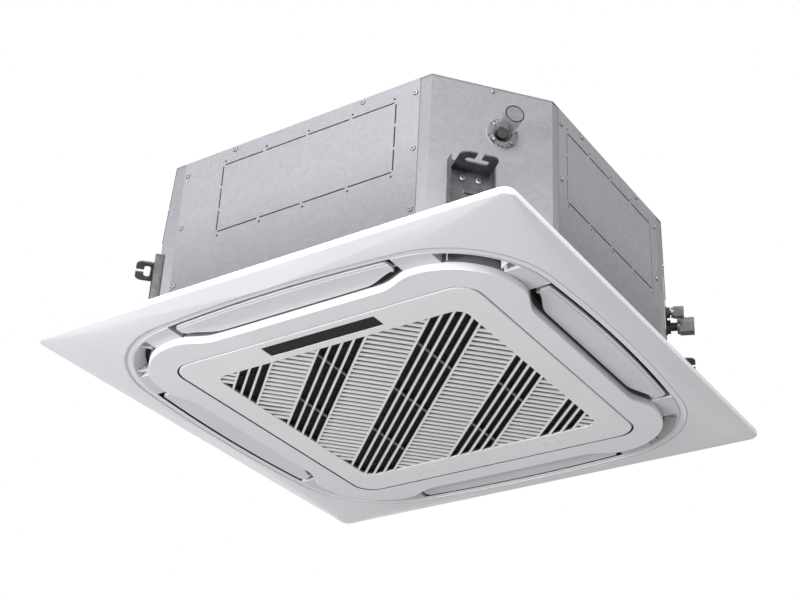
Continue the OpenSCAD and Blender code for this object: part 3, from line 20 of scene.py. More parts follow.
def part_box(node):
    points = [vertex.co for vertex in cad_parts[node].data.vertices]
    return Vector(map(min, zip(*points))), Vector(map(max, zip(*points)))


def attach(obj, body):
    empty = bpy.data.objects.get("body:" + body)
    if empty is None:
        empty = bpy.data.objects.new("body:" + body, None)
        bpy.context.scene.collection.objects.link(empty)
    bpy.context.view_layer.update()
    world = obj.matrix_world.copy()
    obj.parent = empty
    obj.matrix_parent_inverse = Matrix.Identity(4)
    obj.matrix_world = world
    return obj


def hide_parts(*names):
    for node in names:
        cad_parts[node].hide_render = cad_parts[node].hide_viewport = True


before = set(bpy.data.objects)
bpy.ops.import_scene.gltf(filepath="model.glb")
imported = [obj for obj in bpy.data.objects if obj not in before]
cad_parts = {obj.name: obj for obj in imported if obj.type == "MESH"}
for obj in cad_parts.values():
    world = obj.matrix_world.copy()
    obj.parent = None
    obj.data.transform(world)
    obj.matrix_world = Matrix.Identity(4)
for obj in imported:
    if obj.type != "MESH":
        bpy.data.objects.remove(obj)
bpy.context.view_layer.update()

LOG = logging.getLogger("cassette")
MM = 0.001
SAME_PLACE = 0.01 * MM  # points closer together than this are one point
UPRIGHT = 0.01 * MM  # an edge that rises by more than this isn't level
UPWARDS = 0.9  # a face whose normal's Z is above this looks up
SMOOTH_BELOW = 35.0  # degrees: flatter edges than this are shaded smooth
WAVE_RADIANS = 10  # how far a diagonal wave of scale 1 turns over a metre of X + Y + Z

Piece = bpy.types.Object
Tree = bpy.types.NodeTree
Socket = bpy.types.NodeSocket
Element = bmesh.types.BMEdge | bmesh.types.BMFace
Span = tuple[float, float]
Spot = tuple[float, float, float]


def tone(code: str) -> tuple[float, float, float, float]:
    """Turns an sRGB hex colour into Blender's linear colour, by the curve of the sRGB standard.

    Args:
        code: Six hex digits, such as "E6E6E8".

    Returns:
        Red, green, blue and alpha, from 0 to 1.
    """
    parts = [int(code[i:i + 2], 16) / 255 for i in (0, 2, 4)]
    linear = [c / 12.92 if c <= 0.04045 else ((c + 0.055) / 1.055) ** 2.4 for c in parts]
    return (*linear, 1.0)


def bare_tree(owner: bpy.types.Material | bpy.types.World) -> Tree:
    """Turns on a material's or world's nodes and clears them.

    Args:
        owner: The material or world.

    Returns:
        Its empty node tree.
    """
    owner.use_nodes = True
    owner.node_tree.nodes.clear()
    return owner.node_tree


def add_node(tree: Tree, kind: str, settings: dict | None = None,
             links: dict | None = None) -> bpy.types.Node:
    """Adds one node with its settings and links.

    Args:
        tree: The material's or world's node tree.
        kind: The node's type name.
        settings: Attributes by name, input values by input name or number, and "stops" for a ramp,
            as pairs of place and hex colour.
        links: Output sockets by the name or number of the input that takes them.

    Returns:
        The new node.
    """
    node = tree.nodes.new(kind)
    for name, value in (settings or {}).items():
        if name == "stops":
            ramp = node.color_ramp
            while len(ramp.elements) < len(value):
                ramp.elements.new(0.5)
            for element, (place, code) in zip(ramp.elements, value):
                element.position = place
                element.color = tone(code)
        elif isinstance(name, str) and hasattr(node, name):
            setattr(node, name, value)
        else:
            node.inputs[name].default_value = value
    for name, socket in (links or {}).items():
        tree.links.new(socket, node.inputs[name])
    return node


@dataclass(frozen=True)
class Finish:
    """A finish that any piece can take. Each kind of finish draws its own pattern."""

    name: str
    colour: str
    shade: str
    roughness: float

    def settings(self) -> dict[str, float]:
        """Gives the shader's even values, by the names of its inputs."""
        return {"Roughness": self.roughness}

    def pattern(self, tree: Tree, place: Socket) -> dict[str, Socket]:
        """Draws the finish's own pattern.

        Args:
            tree: The material's node tree.
            place: The piece's Object coordinates.

        Returns:
            What feeds the shader, by the names of its inputs.
        """
        raise NotImplementedError

    def material(self) -> bpy.types.Material:
        """Makes the material at its first use.

        Returns:
            The material, the same one for every piece of this finish.
        """
        made = bpy.data.materials.get(self.name)
        if made:
            return made
        made = bpy.data.materials.new(self.name)
        made.diffuse_color = tone(self.colour)
        tree = bare_tree(made)
        place = add_node(tree, "ShaderNodeTexCoord").outputs["Object"]
        shader = add_node(tree, "ShaderNodeBsdfPrincipled", self.settings(),
                          self.pattern(tree, place))
        add_node(tree, "ShaderNodeOutputMaterial", links={"Surface": shader.outputs["BSDF"]})
        return made


@dataclass(frozen=True)
class MouldedPlastic(Finish):
    """Injection-moulded plastic: an even colour with faint flow marks and a fine eroded grain."""

    flow: float = 250.0  # from one flow mark to the next
    grain: float = 1.2
    relief: float = 0.04
    coat: float = 0.0
    ior: float = 1.5

    def settings(self) -> dict[str, float]:
        """Adds the plastic's own gloss and any clear coat."""
        return {**super().settings(), "IOR": self.ior, "Coat Weight": self.coat}

    def tint(self, tree: Tree, place: Socket, colour: Socket) -> Socket:
        """Leaves the moulding's colour as it is."""
        return colour

    def pattern(self, tree: Tree, place: Socket) -> dict[str, Socket]:
        """Draws slow flow marks in the colour, and the mould's grain in the gloss and relief.

        Args:
            tree: The material's node tree.
            place: The piece's Object coordinates.

        Returns:
            What feeds the shader, by the names of its inputs.
        """
        flow = add_node(tree, "ShaderNodeTexNoise",
                        {"Scale": 1 / (self.flow * MM), "Detail": 3.0}, {"Vector": place})
        colour = add_node(tree, "ShaderNodeValToRGB",
                          {"stops": [(0.35, self.shade), (0.65, self.colour)]},
                          {"Fac": flow.outputs["Fac"]})
        grain = add_node(tree, "ShaderNodeTexNoise",
                         {"Scale": 1 / (self.grain * MM), "Detail": 2.0}, {"Vector": place})
        gloss = add_node(tree, "ShaderNodeMapRange",
                         {"From Min": 0.3, "From Max": 0.7, "To Min": self.roughness - 0.04,
                          "To Max": self.roughness + 0.05}, {"Value": grain.outputs["Fac"]})
        bump = add_node(tree, "ShaderNodeBump", {"Strength": 0.5, "Distance": self.relief * MM},
                        {"Height": grain.outputs["Fac"]})
        return {"Base Color": self.tint(tree, place, colour.outputs["Color"]),
                "Roughness": gloss.outputs["Result"], "Normal": bump.outputs["Normal"]}


@dataclass(frozen=True)
class DuctShadedPlastic(MouldedPlastic):
    """The panel's plastic, with black painted shade on the walls of its air ducts.

    The painted shade covers what lies above the visible edge, within the panel's ring and its round
    corners. The lip along the ring's outline stands lowest and is drawn greyer.
    """

    # Black painted shade on the duct walls, which lie in deep shadow behind the louvre gaps
    painted_shade: str = "29292B"
    painted_shade_from: float = -16.5
    painted_shade_reach: float = 430.0  # the larger of the distances from the middle along X and Y
    corner_reach: float = 690.0  # the sum of the two
    mark: str = "B6B6BA"
    lip_from: float = -18.35

    def where(self, tree: Tree, *tests: tuple[str, float, Socket]) -> Socket:
        """Finds where several tests all hold.

        Args:
            tree: The material's node tree.
            tests: For each, the comparison, the limit in millimetres and the length that is tested.

        Returns:
            A value that is 1 where they hold and 0 elsewhere.
        """
        held = [add_node(tree, "ShaderNodeMath", {"operation": comparison, 1: limit * MM},
                         {0: length}).outputs[0] for comparison, limit, length in tests]
        product = held[0]
        for value in held[1:]:
            product = add_node(tree, "ShaderNodeMath", {"operation": "MULTIPLY"},
                               {0: product, 1: value}).outputs[0]
        return product

    def marked(self, tree: Tree, height: Socket, reach: Socket) -> Socket:
        """Finds the ring's lip."""
        return self.where(tree, ("LESS_THAN", self.lip_from, height))

    def tint(self, tree: Tree, place: Socket, colour: Socket) -> Socket:
        """Paints shade on the duct walls and marks the lip.

        Args:
            tree: The material's node tree.
            place: The piece's Object coordinates.
            colour: The plastic's own colour.

        Returns:
            The colour with the painted shade and the mark.
        """
        xyz = add_node(tree, "ShaderNodeSeparateXYZ", links={"Vector": place})
        height = xyz.outputs["Z"]
        sizes = {number: add_node(tree, "ShaderNodeMath", {"operation": "ABSOLUTE"},
                                  {0: xyz.outputs[axis]}).outputs[0]
                 for number, axis in enumerate("XY")}
        reach, total = [add_node(tree, "ShaderNodeMath", {"operation": operation},
                                 sizes).outputs[0] for operation in ("MAXIMUM", "ADD")]
        # Painted shade: the walls above the visible edge, inside the ring and its corners, are
        # drawn dark
        duct_shaded = self.where(tree, ("GREATER_THAN", self.painted_shade_from, height),
                           ("LESS_THAN", self.painted_shade_reach, reach),
                           ("LESS_THAN", self.corner_reach, total))
        marked = self.marked(tree, height, reach)
        for code, covered in ((self.painted_shade, duct_shaded), (self.mark, marked)):
            mixed = add_node(tree, "ShaderNodeMix", {"data_type": "RGBA", 7: tone(code)},
                             {0: covered, 6: colour})
            colour = mixed.outputs[2]
        return colour


@dataclass(frozen=True)
class FrameShadedPlastic(DuctShadedPlastic):
    """The intake frame's plastic: grey painted shade on its inner walls, and dark painted shade in
    the gap round its door.
    """

    # Grey painted shade on the inner walls, and dark painted shade in the gap round the door
    painted_shade: str = "707173"
    mark: str = "3C3C3E"
    door_reach: float = 309.4
    face: float = -30.35

    def marked(self, tree: Tree, height: Socket, reach: Socket) -> Socket:
        """Finds the walls beside the door, above the frame's own face."""
        return self.where(tree, ("LESS_THAN", self.door_reach, reach),
                          ("GREATER_THAN", self.face, height))


@dataclass(frozen=True)
class DeepPlastic(MouldedPlastic):
    """The grille's plastic, with painted shade that darkens its bars and slats the higher they rise
    above the grille's face.
    """

    shade_share: float = 0.1  # share of the colour that is left where the painted shade is full
    unshaded_to: float = -29.5
    shade_full_from: float = -26.6

    def tint(self, tree: Tree, place: Socket, colour: Socket) -> Socket:
        """Darkens the plastic with its height above the grille's face.

        Args:
            tree: The material's node tree.
            place: The piece's Object coordinates.
            colour: The plastic's own colour.

        Returns:
            The colour with the painted shade.
        """
        xyz = add_node(tree, "ShaderNodeSeparateXYZ", links={"Vector": place})
        # Painted shade: full colour at the grille's face, darkening towards the tops of the bars
        unshaded = add_node(tree, "ShaderNodeMapRange",
                         {"From Min": self.unshaded_to * MM, "From Max": self.shade_full_from * MM,
                          "To Min": 1.0, "To Max": self.shade_share}, {"Value": xyz.outputs["Z"]})
        mixed = add_node(tree, "ShaderNodeMix",
                         {"data_type": "RGBA", "blend_type": "MULTIPLY", 0: 1.0},
                         {6: colour, 7: unshaded.outputs["Result"]})
        return mixed.outputs[2]


@dataclass(frozen=True)
class GalvanisedSheet(Finish):
    """Hot-dip galvanised steel with a fine spangle: faint crystals, and painted shade towards its
    foot, painted light where the foot share is above 1.
    """

    spangle: float = 5.0  # width of a crystal
    cloud: float = 143.0
    relief: float = 0.03
    metallic: float = 0.35
    foot_light: float = 0.5  # share of the colour left at the foot: painted shade below 1, painted light above 1
    foot_light_to: float = -20.0
    bright_from: float = 190.0

    def settings(self) -> dict[str, float]:
        """Adds how far the weathered zinc still shines as metal."""
        return {**super().settings(), "Metallic": self.metallic}

    def pattern(self, tree: Tree, place: Socket) -> dict[str, Socket]:
        """Draws the crystals, cloudy weathering and the painted shade towards the panel (painted
        light where the foot share is above 1).

        Args:
            tree: The material's node tree.
            place: The piece's Object coordinates.

        Returns:
            What feeds the shader, by the names of its inputs.
        """
        crystal = add_node(tree, "ShaderNodeTexVoronoi", {"Scale": 1 / (self.spangle * MM)},
                           {"Vector": place})
        cloud = add_node(tree, "ShaderNodeTexNoise",
                         {"Scale": 1 / (self.cloud * MM), "Detail": 6.0, "Roughness": 0.6},
                         {"Vector": place})
        grey = add_node(tree, "ShaderNodeRGBToBW", links={"Color": crystal.outputs["Color"]})
        blend = add_node(tree, "ShaderNodeMix", {"data_type": "FLOAT", "Factor": 0.75},
                         {2: grey.outputs["Val"], 3: cloud.outputs["Fac"]})
        xyz = add_node(tree, "ShaderNodeSeparateXYZ", links={"Vector": place})
        # Painted shade towards the panel: the colour is scaled by the foot share at the foot,
        # rising to full higher up
        height = add_node(tree, "ShaderNodeMapRange",
                          {"From Min": self.foot_light_to * MM, "From Max": self.bright_from * MM,
                           "To Min": self.foot_light, "To Max": 1.0}, {"Value": xyz.outputs["Z"]})
        colour = add_node(tree, "ShaderNodeValToRGB",
                          {"stops": [(0.3, self.shade), (0.7, self.colour)]},
                          {"Fac": blend.outputs[0]})
        gloss = add_node(tree, "ShaderNodeMapRange",
                         {"From Min": 0.2, "From Max": 0.8, "To Min": self.roughness - 0.07,
                          "To Max": self.roughness + 0.08}, {"Value": grey.outputs["Val"]})
        bump = add_node(tree, "ShaderNodeBump", {"Strength": 0.15, "Distance": self.relief * MM},
                        {"Height": blend.outputs[0]})
        foot_lit = add_node(tree, "ShaderNodeMix",
                          {"data_type": "RGBA", "blend_type": "MULTIPLY", 0: 1.0},
                          {6: colour.outputs["Color"], 7: height.outputs["Result"]})
        return {"Base Color": foot_lit.outputs[2], "Roughness": gloss.outputs["Result"],
                "Normal": bump.outputs["Normal"]}


@dataclass(frozen=True)
class TurnedMetal(Finish):
    """A plated, turned or drawn metal part: fine tool marks and faint tarnish."""

    metallic: float = 1.0
    mark: float = 0.9  # from one tool mark to the next
    tarnish: float = 16.67
    relief: float = 0.03

    def settings(self) -> dict[str, float]:
        """Adds how far the surface shines as metal."""
        return {**super().settings(), "Metallic": self.metallic}

    def pattern(self, tree: Tree, place: Socket) -> dict[str, Socket]:
        """Draws tarnish in the colour and tool marks in the gloss and relief.

        Args:
            tree: The material's node tree.
            place: The piece's Object coordinates.

        Returns:
            What feeds the shader, by the names of its inputs.
        """
        tarnish = add_node(tree, "ShaderNodeTexNoise",
                           {"Scale": 1 / (self.tarnish * MM), "Detail": 5.0}, {"Vector": place})
        colour = add_node(tree, "ShaderNodeValToRGB",
                          {"stops": [(0.3, self.shade), (0.65, self.colour)]},
                          {"Fac": tarnish.outputs["Fac"]})
        marks = add_node(tree, "ShaderNodeTexNoise",
                         {"Scale": 1 / (self.mark * MM), "Detail": 1.0}, {"Vector": place})
        gloss = add_node(tree, "ShaderNodeMapRange",
                         {"To Min": self.roughness - 0.06, "To Max": self.roughness + 0.08},
                         {"Value": marks.outputs["Fac"]})
        bump = add_node(tree, "ShaderNodeBump", {"Strength": 0.3, "Distance": self.relief * MM},
                        {"Height": marks.outputs["Fac"]})
        return {"Base Color": colour.outputs["Color"], "Roughness": gloss.outputs["Result"],
                "Normal": bump.outputs["Normal"]}


@dataclass(frozen=True)
class FinStack(Finish):
    """Pressed aluminium fins: painted highlight on their edges and painted shade in the gaps
    between them.

    The real pitch, about 1.5 mm, is too fine to show inside the casing, so the fins are drawn as
    slanting bands, which repeat every 38 mm along each axis.
    """

    band: float = 37.7
    relief: float = 0.4
    metallic: float = 0.9

    def settings(self) -> dict[str, float]:
        """Adds how far the fins shine as metal."""
        return {**super().settings(), "Metallic": self.metallic}

    def pattern(self, tree: Tree, place: Socket) -> dict[str, Socket]:
        """Draws the bands in colour and relief.

        Args:
            tree: The material's node tree.
            place: The piece's Object coordinates.

        Returns:
            What feeds the shader, by the names of its inputs.
        """
        bands = add_node(tree, "ShaderNodeTexWave",
                         {"wave_type": "BANDS", "bands_direction": "DIAGONAL", "Distortion": 0.3,
                          "Scale": 2 * math.pi / (WAVE_RADIANS * self.band * MM)},
                         {"Vector": place})
        # Painted highlight and shade: bright bands for the fins' edges, dark ones for the gaps
        colour = add_node(tree, "ShaderNodeValToRGB",
                          {"stops": [(0.35, self.shade), (0.55, self.colour)]},
                          {"Fac": bands.outputs["Fac"]})
        bump = add_node(tree, "ShaderNodeBump", {"Strength": 0.8, "Distance": self.relief * MM},
                        {"Height": bands.outputs["Fac"]})
        return {"Base Color": colour.outputs["Color"], "Normal": bump.outputs["Normal"]}


@dataclass(frozen=True)
class BeadFoam(Finish):
    """Expanded polystyrene: beads pressed together, with grooved seams between them that are
    darkened by painted shade.
    """

    bead: float = 4.0
    relief: float = 0.3

    def pattern(self, tree: Tree, place: Socket) -> dict[str, Socket]:
        """Draws the beads in colour and relief.

        Args:
            tree: The material's node tree.
            place: The piece's Object coordinates.

        Returns:
            What feeds the shader, by the names of its inputs.
        """
        beads = add_node(tree, "ShaderNodeTexVoronoi",
                         {"feature": "DISTANCE_TO_EDGE", "Scale": 1 / (self.bead * MM)},
                         {"Vector": place})
        # Painted shade: the colour darkens towards the seams between the beads
        colour = add_node(tree, "ShaderNodeValToRGB",
                          {"stops": [(0.0, self.shade), (0.12, self.colour)]},
                          {"Fac": beads.outputs["Distance"]})
        bump = add_node(tree, "ShaderNodeBump", {"Strength": 0.5, "Distance": self.relief * MM},
                        {"Height": beads.outputs["Distance"]})
        return {"Base Color": colour.outputs["Color"], "Normal": bump.outputs["Normal"]}


@dataclass(frozen=True)
class SmokyTube(Finish):
    """Clear PVC with a grey tint: see-through, with faint extrusion haze."""

    haze: float = 11.11
    ior: float = 1.4
    clearness: float = 1.0

    def settings(self) -> dict[str, float]:
        """Adds how the tube bends light and how much it lets through."""
        return {**super().settings(), "IOR": self.ior, "Transmission Weight": self.clearness}

    def pattern(self, tree: Tree, place: Socket) -> dict[str, Socket]:
        """Draws the haze in the colour and the gloss.

        Args:
            tree: The material's node tree.
            place: The piece's Object coordinates.

        Returns:
            What feeds the shader, by the names of its inputs.
        """
        haze = add_node(tree, "ShaderNodeTexNoise",
                        {"Scale": 1 / (self.haze * MM), "Detail": 3.0}, {"Vector": place})
        colour = add_node(tree, "ShaderNodeValToRGB",
                          {"stops": [(0.3, self.shade), (0.7, self.colour)]},
                          {"Fac": haze.outputs["Fac"]})
        gloss = add_node(tree, "ShaderNodeMapRange",
                         {"To Min": self.roughness - 0.04, "To Max": self.roughness + 0.06},
                         {"Value": haze.outputs["Fac"]})
        return {"Base Color": colour.outputs["Color"], "Roughness": gloss.outputs["Result"]}


# Pearl white ABS, moulded with a fine spark-eroded texture: an even soft sheen with no sharp glints
PANEL_WHITE, PANEL_SHADE = "DADADE", "D6D6DA"
# The same ABS where it forms the air ducts: white, with black painted shade on the outlets' walls
DUCT_ABS = DuctShadedPlastic("duct_shaded_abs", PANEL_WHITE, PANEL_SHADE, 0.42, relief=0.05)
# The intake frame is of the same ABS, with painted shade: mid grey on its inner walls, dark in the
# gap round the door
FRAME_ABS = FrameShadedPlastic("frame_shaded_abs", PANEL_WHITE, PANEL_SHADE, 0.42, relief=0.05)
# The corner covers' ABS has a coarser eroded grain, which takes some light off them
COVER_ABS = MouldedPlastic("cover_abs", "C8C8CC", "BFBFC3", 0.5, grain=1.8, relief=0.12)
# The louvres' ABS has a pearl filler: a little greyer than the panel
LOUVRE_ABS = MouldedPlastic("louvre_abs", "CDCDD1", "C9C9CD", 0.4)
# The grille is moulded of ABS in a smoother tool: glossier, with painted shade on the upper backs
# of its bars
GRILLE_ABS = DeepPlastic("grille_abs", "DDDDE0", "D9D9DC", 0.38, grain=1.0, relief=0.03)
# The latch buttons are of the grille's plastic, wiped clean by every push: glossier still
BUTTON_ABS = MouldedPlastic("button_abs", "DBDBDE", "D7D7DA", 0.34, grain=1.0, relief=0.03)
# Zinc-coated sheet steel: a pale blue-grey with faint crystals and cloudy weathering, and painted
# shade darkening it towards the panel
CASING_ZINC = GalvanisedSheet("casing_zinc", "87888C", "848589", 0.45)
# The corner plates' zinc: the same sheet drawn a little darker as painted shade, and brightened by
# painted light towards their foot
CORNER_ZINC = GalvanisedSheet("corner_zinc", "7C7D81", "797A7E", 0.45, foot_light=1.22)
# Zinc-plated screws and pins: brighter and smoother than the sheet
SCREW_ZINC = TurnedMetal("screw_zinc", "A9ABAE", "8D8F92", 0.34, metallic=0.85)
# Oiled steel of the hanger brackets: a dull dark grey with worn lighter patches
BRACKET_STEEL = TurnedMetal("oiled_bracket_steel", "4E4F52", "323335", 0.42, metallic=0.35,
                            mark=1.6)
# Drawn copper of the coil's bends: warm, slightly tarnished
COPPER = TurnedMetal("drawn_copper", "C07F58", "9A5F40", 0.3)
# Copper of the pipe ends, brown from brazing and smeared with sealant: dark and dull
BRAZED_COPPER = TurnedMetal("brazed_copper", "4A4340", "302C2B", 0.5, metallic=0.5)
# Nickel-plated brass nuts: a warm grey
NUT_PLATE = TurnedMetal("nut_plate", "7F7F7F", "656565", 0.4, metallic=0.5)
# Painted shade for the screws' cross recesses and under their heads: a dark cross and a dark ring
RECESS_SHADE = TurnedMetal("painted_recess_shade", "3A3B3D", "2A2B2C", 0.5, metallic=0.3)
# EPDM rubber: matt black with a dusty grain
RUBBER = MouldedPlastic("epdm_rubber", "2A2A2B", "212122", 0.75, grain=1.5, relief=0.08)
# Matt black sheet behind the knock-outs: painted shade seen through their slits
SLIT_SHADE = MouldedPlastic("slit_shade_black", "161617", "101011", 0.9, grain=2.0, relief=0.15)
# Smoked acrylic over the display: near black, with a haze that keeps reflections soft
DISPLAY_ACRYLIC = MouldedPlastic("smoked_acrylic", "18181A", "161617", 0.5, grain=3.0,
                                 relief=0.01, ior=1.35)
# Black polypropylene of the filter's frame: a soft black
BLACK_PP = MouldedPlastic("black_polypropylene", "262627", "1F1F20", 0.55, grain=1.4, relief=0.06)
# Nylon thread of the filter's net: black with a slight sheen; its black is also painted shade for
# the dim inside seen through the grille
NET_NYLON = MouldedPlastic("net_nylon", "1C1C1D", "161617", 0.5, grain=0.8, relief=0.05)
# Glass-filled ABS of the fan, the bell mouth and the pump's impeller: a satin dark grey, which on
# the fan and the bell mouth stands as painted shade for the dim inside of the unit
FAN_ABS = MouldedPlastic("fan_abs", "343638", "2D2F31", 0.5, grain=1.6, relief=0.06)
# Pale polypropylene of the pump, the float and the louvre motors: a waxy off-white
PALE_PP = MouldedPlastic("pale_polypropylene", "D6D5D0", "CFCEC9", 0.45, grain=1.4, relief=0.05)
# Painted motor can: mid grey with a slight sheen
MOTOR_PAINT = MouldedPlastic("motor_paint", "7E8083", "75777A", 0.36, grain=1.8, coat=0.2)
# Translucent silicone of the drain gasket: it takes the sheet's grey
SILICONE = MouldedPlastic("silicone", "A9AAAD", "A2A3A6", 0.4, grain=1.0, relief=0.02)
# Expanded polystyrene of the insulation: white beads with painted shade in their seams
FOAM = BeadFoam("bead_foam", "E9E9E6", "CFCFCB", 0.8)
# The drain pan's polystyrene is coloured in the bead: dark grey
GREY_FOAM = BeadFoam("grey_bead_foam", "48494C", "37383A", 0.8)
# Pressed aluminium of the coil's fins: bright bands of painted highlight over dark bands of painted
# shade
FINS = FinStack("coil_fins_aluminium", "C6C8CB", "5E6063", 0.35)
# Extruded PVC of the drain spigot: clear, with a faint haze
TUBE = SmokyTube("smoky_pvc", "EDEDEC", "E0E0DF", 0.06)


def dress(finish: Finish, *nodes: str) -> None:
    """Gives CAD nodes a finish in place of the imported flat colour.

    Args:
        finish: What the nodes are made of.
        nodes: Their names.
    """
    for name in nodes:
        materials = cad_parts[name].data.materials
        materials.clear()
        materials.append(finish.material())


def deselect() -> None:
    """Leaves nothing selected, so that an operator acts on the next piece alone."""
    bpy.ops.object.select_all(action="DESELECT")


def pick(piece: Piece) -> None:
    """Selects one piece alone and makes it the active one.

    Args:
        piece: The piece.
    """
    deselect()
    piece.select_set(True)
    bpy.context.view_layer.objects.active = piece


def apply_modifiers(piece: Piece) -> None:
    """Applies all of a piece's modifiers in order.

    Args:
        piece: The piece.
    """
    pick(piece)
    for modifier in list(piece.modifiers):
        bpy.ops.object.modifier_apply(modifier=modifier.name)


def place(piece: Piece, finish: Finish, body: str, slot: str) -> None:
    """Dresses a finished piece and hangs it on its body.

    Args:
        piece: The piece, with its place in its mesh.
        finish: What it is made of.
        body: The CAD body that it moves with.
        slot: A material slot's name; not used.
    """
    piece.data.materials.clear()
    piece.data.materials.append(finish.material())
    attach(piece, body)
    LOG.info("%s rides on %s", piece.name, body)


def copied(source: Piece, name: str) -> Piece:
    """Copies a piece, with a mesh of its own.

    Args:
        source: The piece that is copied.
        name: The copy's name.

    Returns:
        The copy.
    """
    copy = bpy.data.objects.new(name, source.data.copy())
    bpy.context.scene.collection.objects.link(copy)
    return copy


def joined(name: str, pieces: list[Piece]) -> Piece:
    """Joins pieces into the first one.

    Args:
        name: The new name.
        pieces: The pieces.

    Returns:
        The joined piece.
    """
    deselect()
    for piece in pieces:
        piece.select_set(True)
    bpy.context.view_layer.objects.active = pieces[0]
    bpy.ops.object.join()
    pieces[0].name = name
    return pieces[0]


def settled() -> Piece:
    """Puts the place, turn and size of the piece that was just added into its mesh.

    Returns:
        The piece.
    """
    bpy.ops.object.transform_apply(location=True, rotation=True, scale=True)
    return bpy.context.object


def block(low: Spot, high: Spot) -> Piece:
    """Adds a box.

    Args:
        low: Its lowest corner, in millimetres.
        high: Its highest corner, in millimetres.

    Returns:
        The box.
    """
    deselect()
    low, high = Vector(low) * MM, Vector(high) * MM
    bpy.ops.mesh.primitive_cube_add(size=1.0, location=(low + high) / 2, scale=high - low)
    return settled()


def disc(radius: float, depth: float, sides: int, centre: Spot = (0, 0, 0),
         turn: Spot = (0, 0, 0)) -> Piece:
    """Adds a short cylinder.

    Args:
        radius: Its radius in millimetres.
        depth: Its length in millimetres.
        sides: How many sides it has.
        centre: Its middle, in millimetres.
        turn: How it is turned from upright, in radians.

    Returns:
        The cylinder.
    """
    deselect()
    bpy.ops.mesh.primitive_cylinder_add(vertices=sides, radius=radius * MM, depth=depth * MM,
                                        location=Vector(centre) * MM, rotation=turn)
    return settled()


def facing(outward: Vector, spot: Vector) -> Matrix:
    """Works out what takes a piece modelled round the Z axis to its place on the unit.

    Args:
        outward: The way that the piece's Z axis comes to point.
        spot: Where its origin comes to lie, in metres.

    Returns:
        The move, as a matrix.
    """
    return Matrix.Translation(spot) @ outward.to_track_quat("Z", "Y").to_matrix().to_4x4()


def cut_out(piece: Piece, cutter: Piece) -> None:
    """Cuts one piece out of another, and deletes it.

    Args:
        piece: The piece that is cut.
        cutter: What is cut out of it.
    """
    cut = piece.modifiers.new("cut", "BOOLEAN")
    cut.operation = "DIFFERENCE"
    cut.solver = "EXACT"
    cut.object = cutter
    apply_modifiers(piece)
    bpy.data.objects.remove(cutter, do_unlink=True)


def eased(piece: Piece, width: float, steps: int = 2, angle: float = 30.0) -> None:
    """Rounds a new piece's sharp edges.

    Args:
        piece: The piece.
        width: The rounding's width in millimetres.
        steps: How many faces the rounding has.
        angle: The least angle of an edge that is rounded, in degrees.
    """
    bevel = piece.modifiers.new("edges", "BEVEL")
    bevel.width = width * MM
    bevel.segments = steps
    bevel.limit_method = "ANGLE"
    bevel.angle_limit = math.radians(angle)
    apply_modifiers(piece)


def flattened(piece: Piece) -> None:
    """Shades a piece's roundings smooth and keeps its flat faces flat.

    Args:
        piece: The piece.
    """
    pick(piece)
    bpy.ops.object.shade_smooth_by_angle(angle=math.radians(SMOOTH_BELOW))
    flat = piece.modifiers.new("flat_faces_stay_flat", "WEIGHTED_NORMAL")
    flat.keep_sharp = True
    apply_modifiers(piece)


def softened(node: str, name: str, width: float, steps: int = 2, angle: float = 30.0,
             outside: float = 0.0) -> Piece:
    """Copies a CAD node's mesh and rounds its sharp edges, as a mould or a press would.

    Args:
        node: The CAD node.
        name: The new piece's name.
        width: The rounding's width in millimetres.
        steps: How many faces the rounding has.
        angle: The least angle of an edge that is rounded, in degrees.
        outside: How far from the unit's middle, along X or Y, the middle of an edge has to lie for
            the edge to be rounded, in millimetres.

    Returns:
        The new piece, which stands for the node.
    """
    level = math.radians(0.5)
    piece = copied(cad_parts[node], name)
    pick(piece)
    bpy.ops.object.mode_set(mode="EDIT")
    bpy.ops.mesh.select_all(action="SELECT")
    bpy.ops.mesh.remove_doubles(threshold=SAME_PLACE)
    bpy.ops.mesh.dissolve_limited(angle_limit=level)
    bpy.ops.object.mode_set(mode="OBJECT")
    mesh = bmesh.new()
    mesh.from_mesh(piece.data)
    sharp = mesh.edges.layers.float.new("bevel_weight_edge")
    for edge in mesh.edges:
        middle = (edge.verts[0].co + edge.verts[1].co) / 2
        far_out = max(abs(middle.x), abs(middle.y)) > outside * MM
        if far_out and edge.calc_face_angle(0.0) > math.radians(angle):
            edge[sharp] = 1.0
    mesh.to_mesh(piece.data)
    mesh.free()
    bevel = piece.modifiers.new("edges", "BEVEL")
    bevel.width = width * MM
    bevel.segments = steps
    bevel.limit_method = "WEIGHT"
    apply_modifiers(piece)
    flattened(piece)
    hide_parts(node)
    return piece


class Elements(Enum):
    """What is selected of a mesh."""

    EDGES = "edges"
    FACES = "faces"


@contextmanager
def chosen(piece: Piece, kind: Elements, test: Callable[[Element], bool]) -> Iterator[None]:
    """Opens a piece in edit mode with only some of its edges or faces selected.

    Args:
        piece: The piece.
        kind: Which of the two are selected.
        test: Says whether an edge or a face is selected.

    Yields:
        Nothing. The piece is open until the block ends.
    """
    pick(piece)
    bpy.ops.object.mode_set(mode="EDIT")
    bpy.ops.mesh.select_all(action="DESELECT")
    mesh = bmesh.from_edit_mesh(piece.data)
    for part in [part for part in getattr(mesh, kind.value) if test(part)]:
        part.select_set(True)
    bmesh.update_edit_mesh(piece.data)
    yield
    bpy.ops.object.mode_set(mode="OBJECT")


class Side(Enum):
    """The casing's two long plates that are made anew here."""

    FRONT = "front"
    RIGHT = "right"


